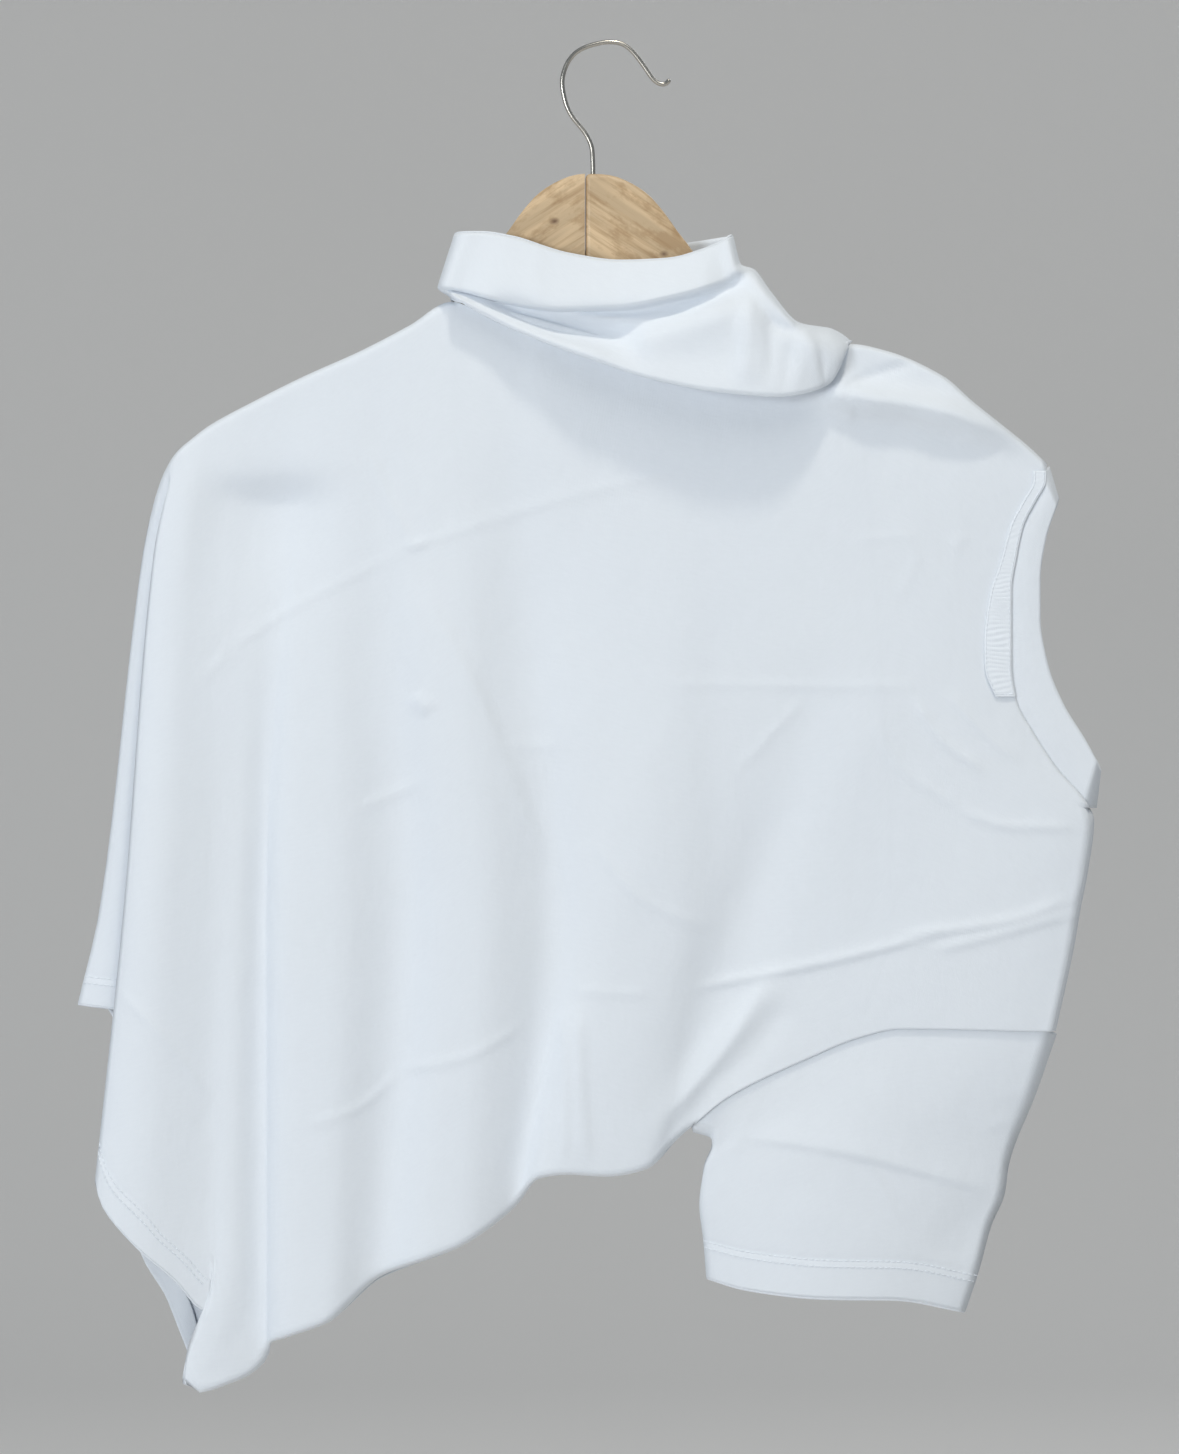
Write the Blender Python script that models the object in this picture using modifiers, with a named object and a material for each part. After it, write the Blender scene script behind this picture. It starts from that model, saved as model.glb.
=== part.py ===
"""A plain T-shirt hung sideways on a wooden hanger: the hook comes out of one sleeve.

Frame: X to the right, Y away from the viewer, Z up. The origin is the underside of the hook's
bend, where the hook rests on a rod. The near side (-Y) is the back of the shirt, the far side
(+Y) its front. Every table below is in millimetres.

Each cloth piece is a grid of points, worked out from its outline and its hanging folds, and
Solidify gives it its wall. Near and far pieces meet at y = 0 along the side and shoulder seams.
"""
import math

import bmesh
import bpy
import numpy as np
from mathutils import Matrix

MM = 0.001

# ---------------------------------------------------------------- driving sizes
CLOTH = 1.2             # wall of the jersey
RIB = 1.5               # wall of the ribbed neckband
TAPE = 1.0              # wall of the tape beside the neckband
SEAM_GAP = 0.4          # clear space where the two panels meet, edge to edge
EDGE_GAP = 0.9          # from a panel's edge to the sleeve or rib that is sewn to it
ROLL = 8.5              # radius with which the cloth turns over at a seam
ROLL_ANGLES = (0, 14, 38, 62, 90)
PINCH = 0.65            # half the distance between the two walls where a seam is pinched flat
NEAR_ROWS = 21          # rows between the rolled edges of the near panel
FAR_ROWS = 14
ROW_CROWDING = 1.3      # how much closer the rows lie near the top edge

CENTRE_X = -3.6         # upright line through the hook's shank
ARM_THICKNESS = 12.0
ARM_EASING = 2.5        # width of the eased edges
WELD = 0.001
JOINT_X = -7.6          # where the two wooden halves meet
WIRE = 2.4              # diameter of the hook's wire
SHANK_DEPTH = 24.0      # how far the wire goes into the wood
DRILL_SIDES = 24
HOLE_CLEARANCE = 0.3

UPPER_Z = -260.0        # height of the upper station of every hanging line
LOWER_Z = -440.0        # height of the lower station

# ---------------------------------------------------------------- outlines
# Top edge of the two panels. Between UNDERARM_A and SHOULDER_A it is the armhole.
UNDERARM_A = -76.0
SHOULDER_A = 128.0
TOP_EDGE = {
    "x": (-229, -226, -222, -216, -207, -199, -177, -151, -122, -97, -76, -60, -41, 20, 75, 105,
          120, 128, 146, 175, 190, 205, 218, 227),
    "near_z": (-240, -229, -218, -208, -200, -194, -182, -169, -156, -143, -131, -136.5, -142,
               -158, -169, -169, -162, -152.5, -156, -169, -182, -194, -204.5, -213),
    "far_z": (-240, -229, -218, -208, -200, -194, -182, -169, -156, -143, -131, -134, -139, -148,
              -152, -153, -152.5, -152.5, -156, -169, -182, -194, -204.5, -213),
}

# Right edge from the neck point A down: neckline, then shoulder B from NECK_POINT_B on.
NECK_POINT_B = -388.0
RIGHT_EDGE = {
    "z": (-213, -222, -232, -245, -261, -278, -298, -316, -334, -351, -369, -385, -395, -423,
          -438, -461, -502),
    "near_x": (227, 227, 222, 215.5, 212, 209.5, 209.5, 209.5, 212, 221, 233, 247, 251.5, 248,
               245, 241, 232),
    "far_x": (227, 225, 205, 182, 163, 152, 147, 149, 158, 176, 203, 240, 251.5, 248, 245, 241,
              232),
}
NEAR_REACH = 70.0       # how far the neck's curve pulls the hanging lines beside it
FAR_REACH = 180.0

# Hanging lines of the near panel, left to right. Each one is followed from the top edge through
# the upper and the lower station to the bottom edge. y is how far it stands to the near side.
# steps is the number of grid columns up to the next line.
LINE_COLUMNS = ("name", "steps", "top_x", "top_y", "up_x", "up_y", "low_x", "low_y",
                "end_x", "end_z", "end_y")
NEAR_LINES = (
    ("side seam A",      1, -229.0,  0, -233.0,  0.0, -255.0,  0.0, -266.0, -488,  0.0),
    ("flap",             1, -227.0,  5, -230.0,  4.0, -250.0,  4.5, -258.0, -489,  4.5),
    ("flap inner",       2, -225.0,  6, -226.0,  4.6, -238.0,  5.0, -243.0, -491,  5.0),
    ("pleat root",       1, -222.5,  7, -220.5,  5.5, -214.0,  6.0, -208.0, -528,  6.0),
    ("pleat turn",       1, -220.5,  8, -218.0,  7.2, -209.5,  8.7, -203.0, -540,  8.7),
    ("pleat return",     1, -218.5,9.6, -220.0,  9.0, -215.0, 11.2, -211.0, -548, 11.2),
    ("lobe 1 behind",    1, -216.5,9.6, -223.5, 10.4, -236.0, 12.4, -249.0, -566, 12.4),
    ("lobe 1 edge",      1, -214.5,9.6, -226.5, 12.4, -241.5, 15.8, -256.0, -577, 15.8),
    ("lobe 1 left",      1, -211.5,9.6, -223.5, 14.0, -238.0, 20.0, -252.5, -589, 20.0),
    ("lobe 1 middle",    2, -205.0,9.6, -214.0, 14.8, -226.0, 22.0, -236.0, -609, 23.0),
    ("lobe 1 right",     1, -197.0,9.6, -203.0, 13.0, -212.0, 18.0, -217.0, -628, 23.5),
    ("lobe 1 end",       1, -190.0,9.6, -195.0, 11.8, -205.5, 14.5, -203.5, -642, 22.0),
    ("lobe 1 turn",      1, -185.0,9.6, -190.0, 11.0, -201.0, 13.0, -198.5, -640, 18.5),
    ("corner hidden",    1, -181.0,9.6, -186.0, 11.0, -197.0, 12.0, -204.5, -652, 14.5),
    ("corner front",     1, -178.5,9.6, -183.5, 11.0, -195.0, 12.0, -210.5, -673, 12.3),
    ("corner edge",      1, -176.0,9.6, -181.0, 11.0, -192.0, 12.2, -211.0, -679,  8.8),
    ("corner B",         1, -173.0,9.6, -178.0, 11.0, -188.5, 14.0, -203.0, -686,  8.0),
    ("corner ridge",     1, -168.0,9.6, -173.0, 11.0, -182.0, 14.5, -190.0, -682,  9.5),
    ("corner right",     1, -163.0,9.6, -168.0, 11.0, -175.0, 10.0, -179.0, -676,  7.0),
    ("deep valley",      1, -159.0,9.6, -163.5, 11.0, -170.5,  7.5, -173.5, -668,  4.5),
    ("lobe 2 edge",      1, -156.0,9.6, -159.0, 11.5, -165.5, 18.0, -168.5, -661, 18.0),
    ("lobe 2 front",     2, -150.0,9.6, -153.0, 12.0, -157.5, 20.5, -158.0, -658, 20.5),
    ("lobe 2 right",     1, -134.0,9.6, -136.0, 12.5, -133.0, 17.0, -138.0, -650, 18.0),
    ("valley 2",         1, -115.0,9.6, -118.0, 11.5, -110.0, 10.0, -116.0, -629,  9.0),
    ("lobe 3 left",      1,  -96.0,9.6, -100.0, 13.0,  -90.0, 17.0,  -92.0, -619, 17.0),
    ("lobe 3 right",     2,  -76.0,9.6,  -74.0, 13.5,  -63.0, 19.0,  -72.0, -612, 17.0),
    ("lobe 3 end",       1,  -60.0, 10,  -58.0, 12.5,  -42.0, 14.0,  -56.0, -602, 13.0),
    ("valley 3",         1,  -45.0, 10,  -42.0, 11.0,  -24.0,  8.5,  -43.0, -591,  8.0),
    ("lobe 4 edge",      1,  -30.0, 12,  -24.0, 12.5,   -8.0, 14.0,  -31.0, -577, 16.0),
    ("lobe 4 left",      1,  -14.0, 12,   -6.0, 13.0,    6.0, 17.0,  -16.0, -575, 18.0),
    ("lobe 4 middle",    1,    6.0, 12,   14.0, 13.0,   22.0, 17.5,    4.0, -576, 17.0),
    ("lobe 4 right",     1,   28.0, 12,   36.0, 13.0,   40.0, 16.5,   24.0, -572, 14.0),
    ("armpit valley",    1,   50.0, 12,   57.0, 12.0,   60.0, 12.0,   36.0, -560,  9.0),
    ("underarm B",       1,   70.0, 12,   76.0, 12.0,   77.0, 10.5,   46.0, -551,  9.0),
    ("armhole low",      2,   88.0, 12,   95.0, 12.0,   96.0, 11.0,   64.0, -536, 11.0),
    ("armhole middle",   1,  119.0, 12,  127.0, 12.0,  132.0, 11.5,  108.0, -517, 12.0),
    ("shoulder point A", 1,  128.0, 11,  139.0, 12.0,  148.0, 12.0,  130.0, -508, 12.0),
    ("armhole high",     2,  146.0, 10,  155.0, 12.0,  165.0, 12.5,  152.0, -501, 12.0),
    ("shoulder middle",  1,  180.0, 10,  184.0, 11.5,  193.0, 13.0,  187.0, -501, 12.0),
    ("tape line",        1,  208.0,9.6,  213.0, 10.0,  216.0, 12.0,  217.0, -502, 10.0),
    ("edge inner",       1,  220.0,9.6,  222.5,  9.5,  225.5, 10.0,  226.0, -502,  9.0),
    ("edge roll",        1,  225.0,9.6,  226.3,  9.0,  229.4,  9.0,  230.2, -502,  9.0),
    ("edge turn",        1,  226.8,9.6,  227.6,  9.0,  230.8,  9.0,  231.8, -502,  9.0),
    ("right edge",       0,  227.0,9.6,  227.8,  9.0,  231.0,  9.0,  232.0, -502,  9.0),
)
FAR_LINES = (
    ("side seam A",      1, -229.0,  0, -233.0,  0.0, -255.0,  0.0, -266.0, -488,  0.0),
    ("hem lobe",         2, -225.0,  7, -229.0,  6.0, -249.0,  8.0, -259.0, -496,  8.0),
    ("hem middle",       1, -214.0,9.6, -217.0,  9.5, -228.0, 12.0, -237.0, -608, 13.0),
    ("hem fold",         1, -200.0,9.6, -204.0, 10.0, -213.0, 17.0, -221.0, -639, 11.0),
    ("hem end",          1, -186.0,9.6, -190.0, 10.0, -199.0, 13.0, -211.0, -664,  7.0),
    ("corner B",         1, -174.0,9.6, -178.0, 10.0, -188.0, 10.0, -203.0, -686,  8.0),
    ("corner right",     1, -163.0,9.6, -167.0, 10.0, -175.0, 11.0, -179.0, -676,  8.0),
    ("lobe A left",      1, -152.0,9.6, -155.0, 11.0, -162.0, 18.0, -167.0, -660, 14.0),
    ("lobe A right",     1, -134.0,9.6, -138.0, 11.5, -138.0, 18.0, -140.0, -651, 16.0),
    ("valley A",         2, -112.0,9.6, -112.0, 11.0, -108.0, 10.0, -112.0, -628,  8.0),
    ("lobe B",           3,  -78.0,9.6,  -78.0, 12.0,  -68.0, 20.0,  -74.0, -613, 17.0),
    ("valley B",         2,  -48.0, 10,  -42.0, 11.0,  -28.0, 10.0,  -44.0, -592,  8.0),
    ("lobe C",           2,  -18.0, 12,  -12.0, 13.0,    0.0, 19.0,  -16.0, -577, 17.0),
    ("lobe C right",     2,   22.0, 12,   26.0, 13.5,   34.0, 16.0,   20.0, -573, 14.0),
    ("underarm B",       2,   62.0, 12,   70.0, 12.0,   72.0, 11.0,   46.0, -551,  9.0),
    ("armhole middle",   1,  110.0, 12,  118.0, 13.0,  124.0, 13.0,  104.0, -518, 12.0),
    ("shoulder point A", 2,  128.0, 11,  138.0, 13.0,  146.0, 13.0,  128.0, -508, 12.0),
    ("shoulder middle",  1,  176.0, 10,  180.0, 12.5,  188.0, 14.0,  182.0, -501, 12.0),
    ("edge inner",       1,  212.0,9.6,  215.0, 11.0,  218.0, 11.0,  219.0, -502,  9.0),
    ("edge roll",        1,  225.0,9.6,  226.3, 10.0,  229.4,  9.0,  230.2, -502,  9.0),
    ("right edge",       0,  227.0,9.6,  227.8, 10.0,  231.0,  9.0,  232.0, -502,  9.0),
)

# Folds that cross the hanging lines: a ridge (height > 0) or a trough along a straight stretch.
FOLD_COLUMNS = ("x0", "z0", "x1", "z1", "height", "width")
NEAR_FOLDS = (
    (112, -180, 150, -184, 8.0, 6.0),      # roll of cloth below shoulder A
    (150, -184, 208, -200, 7.0, 6.0),
    (-199, -238, -150, -234, -4.0, 7.0),   # dent under the tip of the hanger's arm
    (80, -482, 62, -509, 6.0, 7.0),        # fold that runs into the armpit
    (62, -509, 33, -536, 7.0, 7.0),
    (33, -536, 26, -556, 5.0, 7.0),
)
FAR_FOLDS = (
    (120, -196, 190, -214, 6.0, 9.0),
    (60, -480, 40, -530, 5.0, 9.0),
)

# Neckband: free edge of the rib, from neck point A to neck point B, on each side.
RIB_EDGE = {
    "near_x": (233.5, 226.5, 224, 224, 228, 236, 247, 255),
    "near_z": (-231, -253, -272, -292, -316, -336, -354, -369),
    "far_x": (233.5, 205, 180, 167, 172, 196, 228, 255),
    "far_z": (-231, -249, -270, -298, -330, -352, -366, -369),
}
RIB_A = (228.6, 0.0, -214.6)    # ends of the neckband's seam, beside the two neck points
RIB_B = (252.6, 0.0, -388.5)
RIB_START = 5.0         # the seam's first row lies this far below neck point A
RIB_BOW = 1.1           # how much deeper the rib's middle stands than its seam

TAPE_START = 9.0
TAPE_END_Z = -334.0     # the tape stops here, well above neck point B
TAPE_LINES = 4          # hanging lines that the tape covers
TAPE_INSET = 0.15       # its edge beside the rib is drawn back by this share of the last column
TAPE_LIFT = 0.2

# Upper sleeve, near side: each row is one section across the sleeve, from the rim at the hook
# down to the armhole. Points 0 and 4 lie on the sleeve's two folds (y = 0), d is the depth at
# the three points between them.
SLEEVE_A_COLUMNS = ("name", "x0", "z0", "x1", "z1", "d1", "x2", "z2", "d2", "x3", "z3", "d3",
                    "x4", "z4", "far_sag")
SLEEVE_A = (
    ("rim",        -74.0,  -96.0, -41,  -99.0, 14,  5, -111, 17, 46, -107, 15,  68,  -97.0, 8.0),
    ("hem line",   -82.0, -119.5, -36, -131.0, 15, 14, -133, 18, 46, -125, 17,  72, -110.0, 6.0),
    ("tuck",       -80.5, -122.0, -34, -135.0, 14, 16, -138, 16, 50, -131, 16,  78, -115.0, 7.0),
    ("upper face", -78.6, -123.8, -40, -137.5, 18, 15, -146, 23, 58, -144, 26,  90, -130.0, 5.0),
    ("front",      -77.2, -125.3, -42, -142.0, 21, 18, -160, 29, 72, -165, 34, 110, -141.5, 4.0),
    ("lower edge", -76.4, -126.7, -42, -148.0, 20, 20, -168, 27, 82, -179, 30, 121, -144.5, 4.5),
    ("inside",     -76.0, -127.7, -41, -141.0, 17, 20, -157, 19, 80, -167, 21, 126, -148.0, 4.5),
)
SLEEVE_A_LEFT = (-76.0, 0.0, -129.4)    # where the sleeve meets underarm A
SLEEVE_A_RIGHT = (128.6, 0.0, -150.4)   # and shoulder point A
SLEEVE_A_FAR_DEPTH = 12.5
TUCK_RISE = (1.3, 2.2)      # the tuck behind the swag: height of its two sections at its ends
TUCK_FULL_RISE = (2.6, 4.0)     # and along its middle
TUCK_FULL_DEPTH = 2.5
TUCK_FADE = 0.12            # share of the armhole over which it fades out
SLEEVE_A_ROWS = 2       # grid rows to each section

# Lower sleeve: the outline of its two folds and of its hem, and its depth on each side.
SLEEVE_B = {
    "left_x": (47.5, 57.0, 58.0, 53.0, 51.0, 53.0, 54.5),
    "left_z": (-553.5, -557, -563, -575, -591, -609, -628),
    "right_x": (232.6, 222, 208, 206, 199, 193, 186),
    "right_z": (-503.6, -534, -571, -585, -602, -624, -645),
    "hem_x": (54.5, 74, 112, 150, 186),
    "hem_z": (-628, -633, -637, -638, -645),
}
SLEEVE_B_DEPTH = 15.0
SLEEVE_B_ROWS = 9
SLEEVE_B_CROWDING = 1.2     # how much closer the rows lie near the armhole
SLEEVE_B_SETTLE = 0.25      # share of its length over which it leaves the armhole's depth
SLEEVE_B_FOLDS = (
    (66, -552, 134, -563, 3.5, 6.0),
    (134, -563, 204, -584, 3.5, 6.0),
)

# Hanger arm: outline of one side, measured from the centre line outwards.
ARM_TOP = ((0, -65.2), (9, -66.4), (18, -70), (27, -78), (36, -89.5), (44, -99), (56, -119),
           (72, -139), (93, -148.5), (118, -158.5), (147, -171.4), (173, -184.4),
           (194, -196.4), (203, -204), (207.5, -213))
ARM_BOTTOM = ((206.5, -221), (201, -226), (192, -227), (160, -213), (118, -192), (72, -166),
              (40, -145), (18, -132), (0, -127))

# The hook's wire, from the wood over the bend to its curled tip.
HOOK_ROUTE = ((-3.6, -65.0), (-4.0, -53.0), (-7.0, -45.2), (-10.2, -41.0), (-14.6, -35.6),
              (-18.0, -27.6), (-19.4, -18.3), (-17.4, -10.1), (-12.2, -3.2), (-4.2, 0.5),
              (5.5, 1.9), (13.4, 1.0), (19.5, -4.3), (24.0, -10.0), (27.8, -16.5),
              (31.8, -19.9), (34.6, -19.3), (36.0, -17.2))
HOOK_POINTS = 46

WHITE_JERSEY = (0.86, 0.88, 0.91, 1.0)
WHITE_RIB = (0.88, 0.89, 0.92, 1.0)
PALE_WOOD = (0.66, 0.49, 0.31, 1.0)
STEEL = (0.56, 0.55, 0.54, 1.0)


# ---------------------------------------------------------------- helpers
def smooth(knots, values, at):
    """A smooth curve through (knots, values) that never overshoots, read at the places at."""
    knots = np.asarray(knots, float)
    values = np.asarray(values, float)
    at = np.clip(np.asarray(at, float), knots[0], knots[-1])
    step = np.diff(knots)
    slope = np.diff(values) / step
    tangent = np.empty_like(values)
    tangent[0], tangent[-1] = slope[0], slope[-1]
    before, after = slope[:-1], slope[1:]
    turning = before * after <= 0
    total = np.where(turning, 1.0, before + after)
    tangent[1:-1] = np.where(turning, 0.0, 2 * before * after / total)
    index = np.clip(np.searchsorted(knots, at, side="right") - 1, 0, len(step) - 1)
    width = step[index]
    t = (at - knots[index]) / width
    return (values[index] * (1 + 2 * t) * (1 - t) ** 2 + tangent[index] * width * t * (1 - t) ** 2
            + values[index + 1] * t * t * (3 - 2 * t)
            + tangent[index + 1] * width * t * t * (t - 1))


def along(xs, zs, shares):
    """Points at shares (0 to 1) of the length of a smooth curve through (xs, zs)."""
    length = np.concatenate(([0.0], np.cumsum(np.hypot(np.diff(xs), np.diff(zs)))))
    at = np.asarray(shares) * length[-1]
    return smooth(length, xs, at), smooth(length, zs, at)


def shares_of(xs, zs):
    """How far along its own length each point of a line lies, from 0 to 1."""
    length = np.concatenate(([0.0], np.cumsum(np.hypot(np.diff(xs), np.diff(zs)))))
    return length / length[-1]


def distance(x, z, line):
    """Distance in the XZ plane from each point to a polyline of (x, z) points."""
    best = np.full(np.shape(x), 1e9)
    for (ax, az), (bx, bz) in zip(line[:-1], line[1:]):
        run = max((bx - ax) ** 2 + (bz - az) ** 2, 1e-9)
        t = np.clip(((x - ax) * (bx - ax) + (z - az) * (bz - az)) / run, 0, 1)
        best = np.minimum(best, np.hypot(x - ax - t * (bx - ax), z - az - t * (bz - az)))
    return best


def beside(edge, gap):
    """An edge moved by gap in the XZ plane, to the left of the way it runs."""
    run = np.gradient(edge[:, (0, 2)], axis=0)
    run = run / np.linalg.norm(run, axis=1)[:, None]
    return edge + gap * np.stack((-run[:, 1], np.zeros(len(edge)), run[:, 0]), axis=-1)


def rounding(away, radius=ROLL):
    """0 at a seam and 1 from radius away on: the quarter circle with which cloth turns over."""
    return np.sqrt(1 - (1 - np.clip(away / radius, 0, 1)) ** 2)


def fold_relief(x, z, folds):
    """How far the folds lift the cloth at each point."""
    lift = np.zeros(np.shape(x))
    for row in folds:
        fold = dict(zip(FOLD_COLUMNS, row))
        line = ((fold["x0"], fold["z0"]), (fold["x1"], fold["z1"]))
        away = distance(x, z, line) / fold["width"]
        lift = np.where(np.abs(lift) > np.abs(fold["height"] * np.exp(-away ** 2)), lift,
                        fold["height"] * np.exp(-away ** 2))
    return lift


# ---------------------------------------------------------------- panels
def panel(lines, top_z, edge_x, reach, folds, rows, side):
    """Grid [column, row] of points of one body panel. side is -1 for near and +1 for far."""
    table = [dict(zip(LINE_COLUMNS, row)) for row in lines]
    knots = np.cumsum([0] + [line["steps"] for line in table[:-1]])
    columns = np.arange(knots[-1] + 1)

    def across(name):
        return smooth(knots, [line[name] for line in table], columns)

    names = ("top_x", "top_y", "up_x", "up_y", "low_x", "low_y", "end_x", "end_z", "end_y")
    line = {name: across(name) for name in names}
    top = smooth(TOP_EDGE["x"], TOP_EDGE[top_z], line["top_x"])

    rolled = ROLL * (1 - np.cos(np.radians(ROLL_ANGLES)))
    spaced = ROLL * np.linspace(0, 1, len(rolled))
    corner, underarm = corner_columns(side)
    sewn_top = (line["top_x"] <= UNDERARM_A) | (line["top_x"] >= SHOULDER_A)
    sewn_end = (columns >= corner) & (columns <= underarm)
    inner = np.linspace(0, 1, rows + 2)[1:-1] ** ROW_CROWDING
    count = 2 * len(rolled) + rows
    x, y, z = np.empty((3, len(columns), count))
    for c in range(len(columns)):
        high, low = top[c] - ROLL, line["end_z"][c] + ROLL
        first = top[c] - (rolled if sewn_top[c] else spaced)
        last = line["end_z"][c] + (rolled if sewn_end[c] else spaced)[::-1]
        heights = np.concatenate((first, high + inner * (low - high), last))
        drop = -np.array((top[c], UPPER_Z, LOWER_Z, line["end_z"][c]))
        x[c] = smooth(drop, [line[n][c] for n in ("top_x", "up_x", "low_x", "end_x")], -heights)
        y[c] = smooth(drop, [line[n][c] for n in ("top_y", "up_y", "low_y", "end_y")], -heights)
        z[c] = heights

    # the neck's curve, fading out over the lines beside it
    straight = x[-1].copy()
    wanted = smooth(-np.array(RIGHT_EDGE["z"]), RIGHT_EDGE[edge_x], -z[-1])
    pull = smooth(-z[-1], wanted - straight, -z)
    x = x + pull * np.clip(1 - (straight - x) / reach, 0, 1)

    seams = seam_lines(x, z, line["top_x"], sewn_end)
    away = np.min([distance(x, z, seam) for seam in seams], axis=0)
    y = (y + fold_relief(x, z, folds)) * rounding(away)
    y[0] = PINCH
    armhole = np.flatnonzero(~sewn_top)
    y[(armhole[0] - 1, armhole[-1] + 1), 0] = PINCH
    y[(corner, underarm), -1] = PINCH
    y[-1, np.flatnonzero(z[-1] <= NECK_POINT_B)[0]] = PINCH
    y = side * np.maximum(y, SEAM_GAP / 2)
    return np.stack((x, y, z), axis=-1), line["top_x"]


def seam_lines(x, z, top_x, sewn_end):
    """The stretches of a panel's edge where it is sewn to the other panel, as (x, z) lines."""
    points = np.stack((x, z), axis=-1)
    side_a, side_b = points[top_x <= UNDERARM_A, 0], points[sewn_end, -1]
    shoulder_a, shoulder_b = points[top_x >= SHOULDER_A, 0], points[-1][z[-1] <= NECK_POINT_B]
    return side_a, shoulder_a, side_b, shoulder_b


def corner_columns(side):
    """Columns of the panel's bottom corner B and of underarm B."""
    lines = NEAR_LINES if side < 0 else FAR_LINES
    knots = np.cumsum([0] + [row[1] for row in lines[:-1]])
    names = [row[0] for row in lines]
    return knots[names.index("corner B")], knots[names.index("underarm B")]


def near_panel():
    return panel(NEAR_LINES, "near_z", "near_x", NEAR_REACH, NEAR_FOLDS, NEAR_ROWS, -1)


def far_panel():
    return panel(FAR_LINES, "far_z", "far_x", FAR_REACH, FAR_FOLDS, FAR_ROWS, 1)


# ---------------------------------------------------------------- sleeves
def upper_sleeve(near, near_top, far, far_top):
    """Closed grid of the collapsed sleeve: sections from the armhole up to the rim."""
    near_open = (near_top > UNDERARM_A + 1) & (near_top < SHOULDER_A - 1)
    far_open = (far_top > UNDERARM_A + 1) & (far_top < SHOULDER_A - 1)
    near_edge = beside(near[near_open, 0], EDGE_GAP)
    far_edge = beside(far[far_open, 0], EDGE_GAP)[::-1]
    armhole = np.vstack((SLEEVE_A_LEFT, near_edge, SLEEVE_A_RIGHT, far_edge))
    near_count = len(near_edge) + 2

    near_share = shares_of(armhole[:near_count, 0], armhole[:near_count, 2])
    far_x = np.concatenate((armhole[near_count - 1:, 0], armhole[:1, 0]))
    far_share = ((far_x[0] - far_x) / (far_x[0] - far_x[-1]))[1:-1]
    body = [sleeve_a_section(dict(zip(SLEEVE_A_COLUMNS, row)), near_share, far_share)
            for row in reversed(SLEEVE_A)]

    # between armhole and body: a plain seam on the far side, a tuck behind the swag on the near
    lip = armhole + (body[0] - armhole) / 3
    turn = armhole + (body[0] - armhole) * 2 / 3
    swag = slice(1, near_count - 1)
    full = np.clip(np.minimum(near_share, 1 - near_share) / TUCK_FADE, 0, 1)[swag]
    for section, low, high in zip((lip, turn), TUCK_RISE, TUCK_FULL_RISE):
        section[swag] = armhole[swag]
        section[swag, 2] += low + full * (high - low)
    turn[swag, 1] -= full * TUCK_FULL_DEPTH
    sections = [armhole, lip, turn] + body
    return blend_sections(np.array(sections), SLEEVE_A_ROWS)


def sleeve_a_section(row, near_share, far_share):
    """One closed section of the upper sleeve: its near side, then its far side."""
    stops = (0, 0.25, 0.5, 0.75, 1)
    x = smooth(stops, [row["x%d" % i] for i in range(5)], near_share)
    z = smooth(stops, [row["z%d" % i] for i in range(5)], near_share)
    d = smooth(stops, (row["d1"], row["d1"], row["d2"], row["d3"], row["d3"]), near_share)
    across = row["x4"] - row["x0"]
    d = d * rounding(near_share * across) * rounding((1 - near_share) * across, row["d3"])
    near = np.stack((x, -d, z), axis=-1)
    far_x = row["x4"] + far_share * (row["x0"] - row["x4"])
    far_z = row["z4"] + far_share * (row["z0"] - row["z4"])
    far_z = far_z - row["far_sag"] * np.sin(math.pi * far_share)
    far_y = SLEEVE_A_FAR_DEPTH * rounding(np.minimum(far_share, 1 - far_share) * across)
    return np.vstack((near, np.stack((far_x, far_y, far_z), axis=-1)))


def blend_sections(sections, steps):
    """A grid [column, row] through sections [row, column], with steps rows to a section."""
    knots = np.arange(len(sections))
    rows = np.linspace(0, knots[-1], knots[-1] * steps + 1)
    grid = np.empty((sections.shape[1], len(rows), 3))
    for c in range(sections.shape[1]):
        for axis in range(3):
            grid[c, :, axis] = smooth(knots, sections[:, c, axis], rows)
    return grid


def lower_sleeve(near, far):
    """Closed grid of the hanging sleeve, from the armhole down to its hem."""
    _, near_start = corner_columns(-1)
    _, far_start = corner_columns(1)
    left_end = np.array((SLEEVE_B["left_x"][0], 0.0, SLEEVE_B["left_z"][0]))
    right_end = np.array((SLEEVE_B["right_x"][0], 0.0, SLEEVE_B["right_z"][0]))
    near_edge = beside(near[near_start + 1:-3, -1], -EDGE_GAP)
    far_edge = beside(far[far_start + 1:-3, -1], -EDGE_GAP)
    halves = []
    for edge, side in ((near_edge, -1), (far_edge, 1)):
        top = np.vstack((left_end, edge, right_end))
        halves.append(sleeve_b_half(top, side))
    return np.vstack((halves[0], halves[1][-2:0:-1]))


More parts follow.
